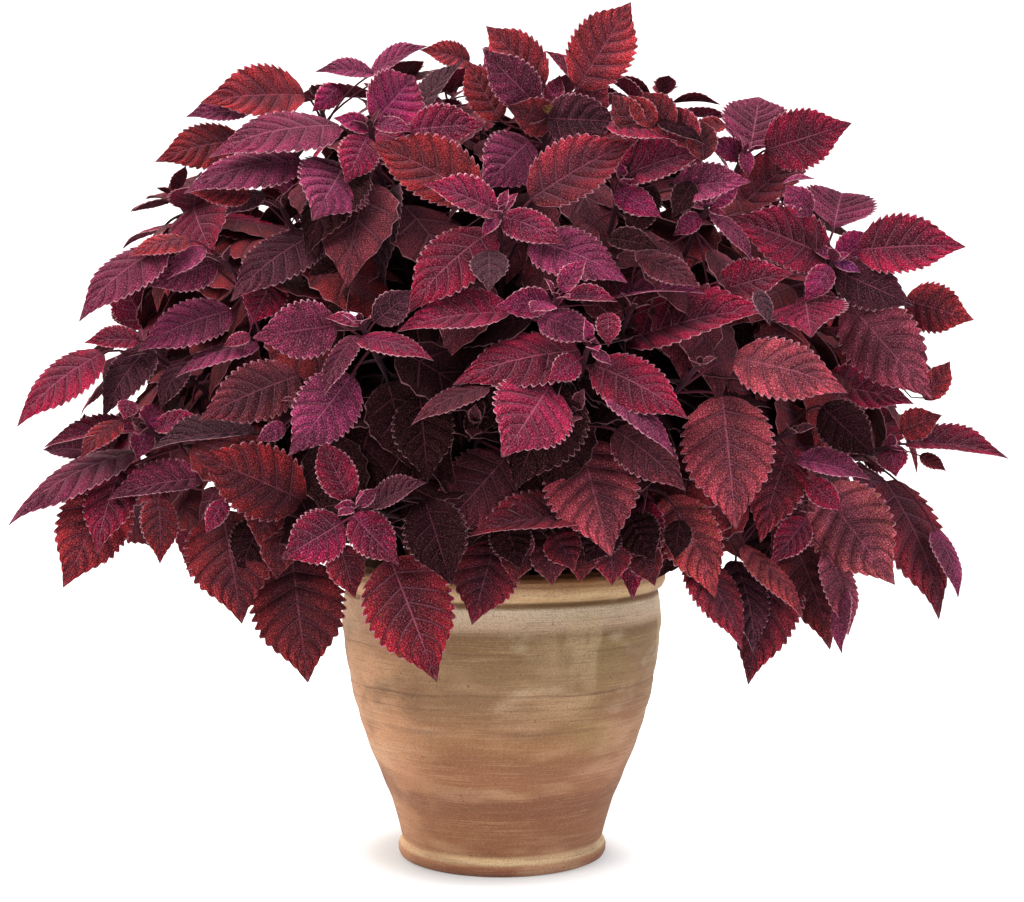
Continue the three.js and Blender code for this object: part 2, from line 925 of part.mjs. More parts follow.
        leaves: [
          { base: [644, 258], tip: [700, 288], width: 30 },
          { base: [608, 238], tip: [660, 250], width: 25 },
          { base: [622, 340], tip: [772, 310], width: 55 },
          { base: [612, 296], tip: [706, 294], width: 20 },
        ],
      },
    ],
  },
  {
    name: 'stem_far_right',
    foot: [92, -34],
    shoots: [
      {
        heart: [889, 447],
        leaves: [
          { base: [890, 448], tip: [896, 477], width: 32 },
          { base: [905, 443], tip: [1009, 459], width: 26 },
          { base: [885, 480], tip: [939, 620], width: 62 },
          { base: [935, 530], tip: [958, 598], width: 22 },
          { base: [900, 430], tip: [942, 415], width: 34 },
        ],
      },
    ],
  },
  {
    name: 'stem_low_right',
    foot: [66, -66],
    shoots: [
      {
        heart: [792, 432],
        sunk: 12,
        leaves: [
          { base: [790, 445], tip: [760, 543], width: 58 },
          { base: [795, 460], tip: [871, 480], width: 28 },
          { base: [808, 481], tip: [843, 511], width: 28 },
          { base: [822, 406], tip: [876, 457], width: 50 },
        ],
      },
      {
        heart: [795, 505],
        sunk: 30,
        leaves: [
          { base: [807, 518], tip: [770, 565], width: 35 },
          { base: [820, 487], tip: [895, 585], width: 85 },
          { base: [790, 535], tip: [830, 650], width: 62 },
          { base: [785, 570], tip: [748, 685], width: 62 },
          { base: [735, 560], tip: [753, 653], width: 45 },
          { base: [742, 545], tip: [803, 620], width: 25 },
          { base: [845, 590], tip: [842, 654], width: 20 },
        ],
      },
    ],
  },
];

function frontStem({ name, foot, shoots }) {
  const grown = shoots.map(({ heart, sunk = 0, leaves }) => {
    const point = onDome(heart, sunk);
    const shoot = { heart: point, growth: growthAt(point), fork: frontFork };
    shoot.leaves = leaves.map((leaf) => sightedLeaf(shoot, leaf));
    return shoot;
  });
  return { name, foot, shoots: grown };
}

// ---------------------------------------------------------------- the back and sides, by rule

// Each back stem has an upper and a lower shoot, at turns round the axis counted from the front.
const lowerTurn = 16;
const backRows = [
  { name: 'stem_back_high', turns: [90, 148, 208, 262], heights: [664, 570], footRadius: 34 },
  { name: 'stem_back_low', turns: [98, 138, 178, 218, 258], heights: [460, 345], footRadius: 76 },
];

function domePoint(turn, height) {
  const angle = THREE.MathUtils.degToRad(turn);
  const level = (height - domeCentre.z) / domeRadii.z;
  const share = Math.sqrt(1 - level ** 2);
  return new THREE.Vector3(
    domeRadii.x * share * Math.sin(angle),
    -domeRadii.y * share * Math.cos(angle),
    height,
  );
}

function backStem(name, turn, heights, footRadius, draw) {
  const shoots = heights.map((height, level) => {
    const heart = domePoint(spread(turn + lowerTurn * level, 6, draw), spread(height, 16, draw));
    const shoot = { heart, growth: growthAt(heart), fork: backFork };
    shoot.leaves = pairedLeaves(shoot, draw);
    return shoot;
  });
  const angle = THREE.MathUtils.degToRad(turn);
  const foot = [footRadius * Math.sin(angle), -footRadius * Math.cos(angle)];
  return { name, foot, shoots };
}

function backStems(draw) {
  return backRows.flatMap(({ name, turns, heights, footRadius }) => turns.map(
    (turn, count) => backStem(`${name}_${count + 1}`, turn, heights, footRadius, draw),
  ));
}

// ---------------------------------------------------------------- materials and assembly

function clay() {
  return new THREE.MeshStandardMaterial({ color: '#c79a72', roughness: 0.85, metalness: 0 });
}

function pottingSoil() {
  return new THREE.MeshStandardMaterial({ color: '#2b1d16', roughness: 1, metalness: 0 });
}

function leafSkin() {
  return new THREE.MeshStandardMaterial({ color: '#8f1f3f', roughness: 0.6, metalness: 0 });
}

const draw = seededDraw(7);
const stems = [...frontStems.map(frontStem), ...backStems(draw)];
stems.forEach(drawLines);

const pot = makePot();
const soil = makeSoil(stems.map((stem) => stem.foot));
const group = new THREE.Group();
group.add(meshOf('pot', pot, clay()), meshOf('soil', soil, pottingSoil()));

// Each stem's leaves, set out round its shoots, and then one inner leaf for each front shoot but the lowest.
const shoots = stems.flatMap((stem) => stem.shoots.map((shoot) => ({ stem, shoot })));
const frontShoots = shoots.slice(0, frontStems.flatMap((stem) => stem.shoots).length);
const outer = shoots.flatMap(({ stem, shoot }) => shoot.leaves.map((leaf) => ({ stem, leaf })));
const higher = frontShoots.filter(({ shoot }) => shoot.heart.z > innerFrom);
const inner = higher.map(({ stem, shoot }) => ({ stem, leaf: innerLeaf(shoot, draw) }));
outer.sort((a, b) => b.leaf.length - a.leaf.length);

// The stems are there first. The leaves of all of them follow, the largest first.
const placed = [pot, soil].map((solid) => ({ solid, box: boxOf(solid) }));
for (const stem of stems) {
  const solid = makeStems(stem);
  stem.own = [{ solid, box: boxOf(solid), stem }];
  placed.push(...stem.own);
}
for (const { stem, leaf } of [...outer, ...inner]) {
  const solid = settle(leaf, placed.filter((other) => other.stem !== stem), stem.own);
  if (!solid) continue;
  const entry = { solid, box: boxOf(solid), stem };
  placed.push(entry);
  stem.own.push(entry);
}

for (const stem of stems) {
  const whole = stem.own.map(({ solid }) => solid).reduce((sum, solid) => sum.add(solid));
  group.add(meshOf(stem.name, whole, leafSkin()));
}

export default group;
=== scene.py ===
import math

import bpy
import numpy as np
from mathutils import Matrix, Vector, kdtree


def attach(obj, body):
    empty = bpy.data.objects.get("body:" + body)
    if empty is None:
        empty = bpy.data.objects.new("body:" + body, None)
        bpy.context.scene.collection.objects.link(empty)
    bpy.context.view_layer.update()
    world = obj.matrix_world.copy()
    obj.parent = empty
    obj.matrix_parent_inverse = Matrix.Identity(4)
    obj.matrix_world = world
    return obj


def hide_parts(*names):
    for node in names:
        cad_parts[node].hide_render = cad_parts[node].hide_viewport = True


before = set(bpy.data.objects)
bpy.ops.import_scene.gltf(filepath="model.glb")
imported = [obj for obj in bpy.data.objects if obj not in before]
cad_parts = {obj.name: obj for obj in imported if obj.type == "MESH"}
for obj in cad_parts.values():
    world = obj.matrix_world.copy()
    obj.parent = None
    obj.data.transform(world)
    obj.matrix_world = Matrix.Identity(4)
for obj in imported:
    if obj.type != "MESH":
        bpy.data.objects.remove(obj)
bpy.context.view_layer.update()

# The plant, the pot and the soil are in millimetres until a mesh is made.
# The camera's eye is too. Lamps, floor and shaders are in metres.
metre = 0.001


def linear(hexColour):
    channels = [int(hexColour[i:i + 2], 16) / 255 for i in (1, 3, 5)]
    return [c / 12.92 if c <= 0.04045 else ((c + 0.055) / 1.055) ** 2.4 for c in channels]


def unit(vector):
    return vector / np.linalg.norm(vector)


def smooth(low, high, value):
    t = np.clip((value - low) / (high - low), 0, 1)
    return t * t * (3 - 2 * t)


def arched(t):
    return 4 * t * (1 - t)


view = {
    "eye": (8.7, -1540.0, 404.0),
    "tilt": 1.95,              # degrees down
    "lens": 62, "sensor": 36,  # mm
    "board": 1763,             # squares from the eye to the sighting board
    "boardCentre": (512, 451),
}
eye = np.array(view["eye"])
up = np.array([0.0, 0.0, 1.0])


def makeCamera():
    data = bpy.data.cameras.new("camera")
    data.lens = view["lens"]
    data.sensor_width = view["sensor"]
    data.clip_end = 50
    camera = bpy.data.objects.new("camera", data)
    camera.location = Vector(view["eye"]) * metre
    camera.rotation_euler = (math.radians(90 - view["tilt"]), 0, 0)
    bpy.context.scene.collection.objects.link(camera)
    bpy.context.scene.camera = camera


lamps = [
    {"name": "keyLamp", "at": (-2.0, -1.3, 2.3), "size": 2.2, "power": 128, "colour": "#fffaf4"},
    {"name": "fillLamp", "at": (2.3, -1.4, 1.2), "size": 2.4, "power": 48, "colour": "#f6f8ff"},
    {"name": "topLamp", "at": (0.3, -0.1, 2.8), "size": 2.0, "power": 64, "colour": "#ffffff"},
    {"name": "backLamp", "at": (-0.9, 1.9, 1.6), "size": 1.6, "power": 36, "colour": "#fff6ee"},
]
lampAim = (0, 0, 0.4)
worldShare = 0.3


def makeLights():
    for lamp in lamps:
        data = bpy.data.lights.new(lamp["name"], "AREA")
        data.shape = "DISK"
        data.size = lamp["size"]
        data.energy = lamp["power"]
        data.color = linear(lamp["colour"])
        light = bpy.data.objects.new(lamp["name"], data)
        light.location = lamp["at"]
        aim = Vector(lampAim) - light.location
        light.rotation_euler = aim.to_track_quat("-Z", "Y").to_euler()
        bpy.context.scene.collection.objects.link(light)
    world = bpy.data.worlds.new("studioWhite")
    world.use_nodes = True
    background = world.node_tree.nodes["Background"]
    background.inputs["Color"].default_value = (1, 1, 1, 1)
    background.inputs["Strength"].default_value = worldShare
    bpy.context.scene.world = world
    bpy.context.scene.view_settings.view_transform = "Standard"


def add(tree, kind, sockets=None, **settings):
    # sockets holds fixed values and what feeds the rest, settings the node's own options
    node = tree.nodes.new("ShaderNode" + kind)
    for key, value in settings.items():
        setattr(node, key, value)
    for key, value in (sockets or {}).items():
        if isinstance(value, bpy.types.NodeSocket):
            tree.links.new(value, node.inputs[key])
        else:
            node.inputs[key].default_value = value
    # gives the first output in use, whose .node is the whole node
    return next((output for output in node.outputs if output.enabled), None)


def newMaterial(name):
    material = bpy.data.materials.new(name)
    material.use_nodes = True
    tree = material.node_tree
    tree.nodes.clear()
    return material, tree


def colour4(hexColour):
    return (*linear(hexColour), 1)


soft = {"interpolation_type": "SMOOTHSTEP"}


leafLook = {
    "pebble": 1.9,        # mm across the small raised cells between the veins
    "wrinkle": 2.0,       # mm across the uneven puckers of the skin
    "hairTuft": 1.1,      # mm between tufts of hair, drawn far coarser than life so that they show
    "mottle": 30,         # mm across the patches where the red is stronger or duller
    "freckle": 3.2,       # mm across the yellow freckles
    # light: a painted highlight on the crests and painted shade in the creases
    "light": (1.42, 0.29),      # how bright the crests are over the creases, and the creases themselves
    "rimPale": (1.4, 0.14),     # how pale the rim is for each share of vein, and without veins
    "relief": (0.55, 1.9, -0.2, 0.2),   # height of the crests, the panels, the side veins and the hairs
    "reliefDepth": 0.002, "duskShare": 0.38,
    "dusk": "#32141e", "rim": "#e0a0ae", "vein": "#cc6a86",
    "sheen": "#b8849c", "fleck": "#a87238", "hairAndHighlight": "#c08c9c",
}


# Living coleus blade, softly haired: matt pebbled skin that sinks along its paler side veins.
# Fine hairs give the crests a lilac bloom. Painted highlights brighten the crests and the pale hair specks,
# and painted shade darkens the creases and the grooves beside the veins.
def coleusBlade(name, gloss, bloomShare):
    material, tree = newMaterial(name)
    look = leafLook
    skin = add(tree, "Attribute", attribute_name="skin")
    detail = add(tree, "Attribute", attribute_name="detail")
    rimShare, fleckShare, veinShare = add(tree, "SeparateColor", {"Color": detail}).node.outputs
    blade = add(tree, "UVMap", uv_map="blade")
    place = add(tree, "SeparateXYZ", {"Vector": blade}).node.outputs
    real = add(tree, "UVMap", uv_map="millimetres")    # in steps of 100 mm

    # how far a point is from the midrib, 0 to 1, and from the nearest side vein, 0 to 0.5
    aside = add(tree, "Math", {0: place["X"]}, operation="ABSOLUTE")
    fromVein = add(tree, "Math", {0: place["Y"], 1: 0.5}, operation="PINGPONG")
    fade = add(tree, "MapRange", {"Value": aside, "From Min": 0.99, "From Max": 0.4, "To Max": 0.8}, **soft)
    lateral = add(tree, "MapRange",
                  {"Value": fromVein, "From Min": 0.07, "From Max": 0.025, "To Max": fade}, **soft)
    midrib = add(tree, "MapRange", {"Value": aside, "From Min": 0.03, "From Max": 0.01}, **soft)
    veins = add(tree, "Math", {0: lateral, 1: midrib}, operation="MAXIMUM")
    pillow = add(tree, "Math", {0: fromVein, 1: 0.6}, operation="POWER")

    cells = add(tree, "TexVoronoi", {"Vector": real, "Scale": 100 / look["pebble"], "Randomness": 0.9},
                voronoi_dimensions="2D", feature="DISTANCE_TO_EDGE")
    grainy = (("hairTuft", 2.0, 0.5), ("mottle", 3.0, 0.5), ("freckle", 4.0, 0.7), ("wrinkle", 3.0, 0.75))
    tufts, patches, grains, wrinkles = (
        add(tree, "TexNoise",
            {"Vector": real, "Scale": 100 / look[mark], "Detail": fine, "Roughness": rough},
            noise_dimensions="2D")
        for mark, fine, rough in grainy)
    domed = add(tree, "MapRange", {"Value": cells, "From Max": 0.4, "To Max": 0.34}, **soft)
    crest = add(tree, "Math", {0: wrinkles, 1: domed}, operation="ADD")
    crest = add(tree, "MapRange", {"Value": crest, "From Min": 0.4, "From Max": 0.84}, **soft)
    # pale hairs on the crests: partly real hair colour, partly a painted highlight where the crests catch
    # the light
    crestHairHighlight = add(tree, "Math", {0: crest, 1: veinShare}, operation="MULTIPLY")
    lines = add(tree, "Math", {0: veins, 1: veinShare}, operation="MULTIPLY")
    edge = add(tree, "Math", {0: veinShare, 1: look["rimPale"][0], 2: look["rimPale"][1]},
               operation="MULTIPLY_ADD")
    fromTo = (
        (patches, 0.35, 0.68, 0.26), (patches, 0.56, 0.36, look["duskShare"]),
        (tufts, 0.45, 0.8, crestHairHighlight), (grains, 0.56, 0.63, fleckShare), (rimShare, 0.25, 0.85, edge),
    )
    patch, dusk, hairsAndHighlight, flecks, rim = (
        add(tree, "MapRange", {"Value": source, "From Min": start, "From Max": end, "To Max": share}, **soft)
        for source, start, end, share in fromTo)

    # painted light and shade of the skin: painted shade in the net of creases and beside the veins, painted
    # highlight on the crests
    light = add(tree, "Math", {0: crest, 1: look["light"][0], 2: look["light"][1]}, operation="MULTIPLY_ADD")
    light = add(tree, "Math", {0: light, 1: patch}, operation="ADD")
    # painted shade in the grooves beside the side veins
    sunk = add(tree, "MapRange", {"Value": fromVein, "From Min": 0.03, "From Max": 0.2,
                                  "To Min": 0.5, "To Max": 1.18}, **soft)
    light = add(tree, "Math", {0: light, 1: sunk}, operation="MULTIPLY")
    tone = add(tree, "VectorMath", {0: skin, "Scale": light}, operation="SCALE")
    for mask, mark in ((dusk, "dusk"), (hairsAndHighlight, "hairAndHighlight"), (flecks, "fleck"), (lines, "vein"), (rim, "rim")):
        tone = add(tree, "Mix", {0: mask, 6: tone, 7: colour4(look[mark])}, data_type="RGBA")

    # each panel swells between its veins, which lie in grooves, and carries the pebbles and hairs
    height = 0.0
    for source, amount in zip((crest, pillow, lateral, tufts), look["relief"]):
        height = add(tree, "Math", {0: source, 1: amount, 2: height}, operation="MULTIPLY_ADD")
    bump = add(tree, "Bump", {"Strength": 1.0, "Distance": look["reliefDepth"], "Height": height})
    shader = add(tree, "BsdfPrincipled", {
        "Base Color": tone, "Normal": bump, "Roughness": 0.8, "IOR": 1.45, "Specular IOR Level": gloss,
        "Sheen Weight": bloomShare, "Sheen Roughness": 0.4, "Sheen Tint": colour4(look["sheen"]),
    })
    add(tree, "OutputMaterial", {"Surface": shader})
    return material


stemSkin = {"streakWide": 1.5, "streakLong": 14, "streak": "#482430"}   # mm, mm and the paler lines' colour


# Square juicy stem with fine hairs: dull purple-red, with paler streaks along it.
def coleusStem():
    material, tree = newMaterial("coleusStem")
    skin = add(tree, "Attribute", attribute_name="skin")
    real = add(tree, "UVMap", uv_map="millimetres")
    scale = (100 / stemSkin["streakWide"], 100 / stemSkin["streakLong"], 1)
    stretched = add(tree, "Mapping", {"Vector": real, "Scale": scale})
    streaks = add(tree, "TexNoise", {"Vector": stretched, "Scale": 1.0, "Detail": 3.0})
    streak = add(tree, "MapRange",
                 {"Value": streaks, "From Min": 0.4, "From Max": 0.7, "To Max": 0.4}, **soft)
    tone = add(tree, "Mix", {0: streak, 6: skin, 7: colour4(stemSkin["streak"])}, data_type="RGBA")
    bump = add(tree, "Bump", {"Strength": 0.5, "Distance": 0.0006, "Height": streaks})
    shader = add(tree, "BsdfPrincipled", {
        "Base Color": tone, "Normal": bump, "Roughness": 0.85, "IOR": 1.42,
        "Specular IOR Level": 0.12, "Sheen Weight": 0.04, "Sheen Roughness": 0.5,
    })
    add(tree, "OutputMaterial", {"Surface": shader})
    return material


# Where the ray through a square of the sighting board meets an upright plane.
# The plane lies that far forward of the pot's axis.
def sight(square, forward):
    rise = view["boardCentre"][1] - square[1]
    tilt = math.radians(view["tilt"])
    ray = np.array([
        square[0] - view["boardCentre"][0],
        view["board"] * math.cos(tilt) + rise * math.sin(tilt),
        rise * math.cos(tilt) - view["board"] * math.sin(tilt),
    ])
    return eye + ray * ((-eye[1] - forward) / ray[1])


def squareSize(forward):
    return (-eye[1] - forward) / view["board"]


dome = {"centre": np.array([0.0, 0.0, 380.0]), "radii": np.array([360.0, 280.0, 300.0]), "lift": 0.35}


def onDome(square, sunk):
    ray = unit(sight(square, 0) - eye)
    start = (eye - dome["centre"]) / dome["radii"]
    step = ray / dome["radii"]
    a = step @ step
    b = start @ step
    c = start @ start - 1
    reach = (-b - math.sqrt(max(0, b * b - a * c))) / a
    return eye + ray * (reach + sunk)


def domePoint(turn, height):
    angle = math.radians(turn)
    level = (height - dome["centre"][2]) / dome["radii"][2]
    share = math.sqrt(1 - level ** 2)
    return np.array([
        dome["radii"][0] * share * math.sin(angle),
        -dome["radii"][1] * share * math.cos(angle),
        height,
    ])


def growthAt(point):
    outward = unit((point - dome["centre"]) / dome["radii"] ** 2)
    outward[2] += dome["lift"]
    return unit(outward)


def seededDraw(seed):
    state = seed
    word = 0xFFFFFFFF

    def draw():
        nonlocal state
        state = (state + 0x6D2B79F5) & word
        mixed = ((state ^ (state >> 15)) * (1 | state)) & word
        mixed = ((mixed + (((mixed ^ (mixed >> 7)) * (61 | mixed)) & word)) ^ mixed) & word
        return (mixed ^ (mixed >> 14)) / 4294967296
    return draw


def spread(middle, span, draw):
    return middle + span * (draw() - 0.5)


stemSizes = {
    "foot": 4.6, "tip": 2.2, "branch": 3.0, "straight": 50, "neck": 14,
    "soil": 226, "hole": 50, "footShare": 0.92, "steps": (4, 2), "fork": (3, 2),
    "rings": 26,
}


def bezier(points, count):
    p = np.array(points)
    t = np.linspace(0, 1, count + 1)[:, None]
    return ((1 - t) ** 3 * p[0] + 3 * (1 - t) ** 2 * t * p[1]
            + 3 * (1 - t) * t ** 2 * p[2] + t ** 3 * p[3])


def stemPath(start, leave, heart, growth):
    straight = heart - growth * stemSizes["straight"]
    gap = np.linalg.norm(straight - start)
    return [start, start + leave * 0.4 * gap, straight - growth * 0.3 * gap, straight]


leafRule = {
    "broadest": 0.72, "slimmest": 0.56, "foreshortened": 1.03, "stalkLean": 0.3, "deepest": 44,
    "sag": 0.5, "stalk": 0.26, "skyward": 0.7, "breadth": 0.7,
    "pairs": [(102, 98), (86, 78), (60, 50)],   # length and opening angle of each pair, oldest first
    "inner": (92, 120), "innerFrom": 340, "innerAt": 0.7,
    "drift": 7, "furthest": 9, "lean": 16, "leanCost": 1.5, "shortestStalk": 6,
    "rooted": 0.42, "awayFrom": 0.5, "turnSpread": 24, "openSpread": 18, "lengthSpread": 0.24,
    "sameCorner": 0.00005,   # metres
}


def rootDepth(length):
    return min(leafRule["rooted"] * length, leafRule["deepest"])


def sightedLeaf(shoot, base, tip, width, tone, away=None):
    if away is None:
        away = base[1] - tip[1] > leafRule["awayFrom"] * abs(tip[0] - base[0])
    nominal = -shoot["heart"][1]
    span = np.linalg.norm(sight(tip, nominal) - sight(base, nominal))
    seenWidth = width * squareSize(nominal)
    length = max(span * leafRule["foreshortened"], seenWidth / leafRule["broadest"])
    fullWidth = min(max(seenWidth, leafRule["slimmest"] * length), leafRule["broadest"] * length)
    root = shoot["heart"] - shoot["growth"] * rootDepth(length)
    rise = leafRule["stalkLean"] * np.linalg.norm(sight(base, -root[1]) - root)
    baseForward = rise - root[1]
    reach = math.sqrt(length ** 2 - span ** 2) * (-1 if away else 1)
    baseAt = sight(base, baseForward)
    tipAt = sight(tip, baseForward + reach)
    along = unit(tipAt - baseAt)
    toEye = unit(eye - baseAt)
    openWay = unit(toEye - along * (toEye @ along))
    edgeOn = np.cross(along, openWay)
    if edgeOn[2] < 0:
        edgeOn = -edgeOn
    share = min(1, seenWidth / fullWidth)
    facing = openWay * share + edgeOn * math.sqrt(1 - share ** 2)
    return {"root": root, "base": baseAt, "tip": tipAt, "facing": facing, "width": fullWidth,
            "length": length, "drift": (toEye, unit(eye - tipAt)), "tone": tone, "growth": shoot["growth"]}


def turnedLeaf(growth, root, turn, opened, length, tone, sag=None):
    # turned round the shoot's growth and opened from it, both in degrees
    level = unit(np.cross(up, growth))
    upright = np.cross(growth, level)
    angle = math.radians(turn)
    around = level * math.cos(angle) + upright * math.sin(angle)
    tilt = math.radians(opened)
    way = growth * math.cos(tilt) + around * math.sin(tilt)
    hang = unit(way - up * (leafRule["sag"] if sag is None else sag))
    base = root + way * leafRule["stalk"] * length
    facing = growth + up * leafRule["skyward"]
    return {"root": root, "base": base, "tip": base + hang * length, "facing": facing,
            "width": leafRule["breadth"] * length, "length": length, "drift": (growth, growth),
            "tone": tone, "growth": growth}


def pairedLeaves(shoot, pairTones, draw):
    firstTurn = 90 * draw()
    leaves = []
    for count, (length, opened) in enumerate(leafRule["pairs"]):
        for half in (0, 180):
            grown = length * spread(1, leafRule["lengthSpread"], draw)
            turn = spread(firstTurn + 90 * count + half, leafRule["turnSpread"], draw)
            root = shoot["heart"] - shoot["growth"] * rootDepth(grown)
            opening = spread(opened, leafRule["openSpread"], draw)
            leaves.append(turnedLeaf(shoot["growth"], root, turn, opening, grown, pairTones[count]))
    return leaves


def innerLeaf(shoot, draw):
    before, after = shoot["line"][-3:-1]
    root = before + (after - before) * leafRule["innerAt"]
    length, opened = leafRule["inner"]
    return turnedLeaf(shoot["growth"], root, 360 * draw(), opened, length, "shade")


# the places where a leaf may have been moved clear of its neighbours, the nearest first
steps = range(-leafRule["furthest"], leafRule["furthest"] + 1)
tries = [(step, lean) for step in steps for lean in (0, 1, -1)]
tries.sort(key=lambda one: abs(one[0]) + leafRule["leanCost"] * abs(one[1]))


def cornersOf(node):
    # the node's corners, to find where each leaf was settled clear of its neighbours
    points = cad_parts[node].data.vertices
    tree = kdtree.KDTree(len(points))
    for index, point in enumerate(points):
        tree.insert(point.co, index)
    tree.balance()
    return tree


def settled(leaf, corners):
    for step, lean in tries:
        tip = leaf["tip"] + leaf["drift"][1] * (leafRule["drift"] * step + leafRule["lean"] * lean)
        if corners.find(Vector(tip * metre))[2] < leafRule["sameCorner"]:
            base = leaf["base"] + leaf["drift"][0] * leafRule["drift"] * step
            if np.linalg.norm(base - leaf["root"]) < leafRule["shortestStalk"]:
                base = leaf["root"] + unit(tip - leaf["root"]) * leafRule["shortestStalk"]
            return {**leaf, "base": base, "tip": tip}
    return None


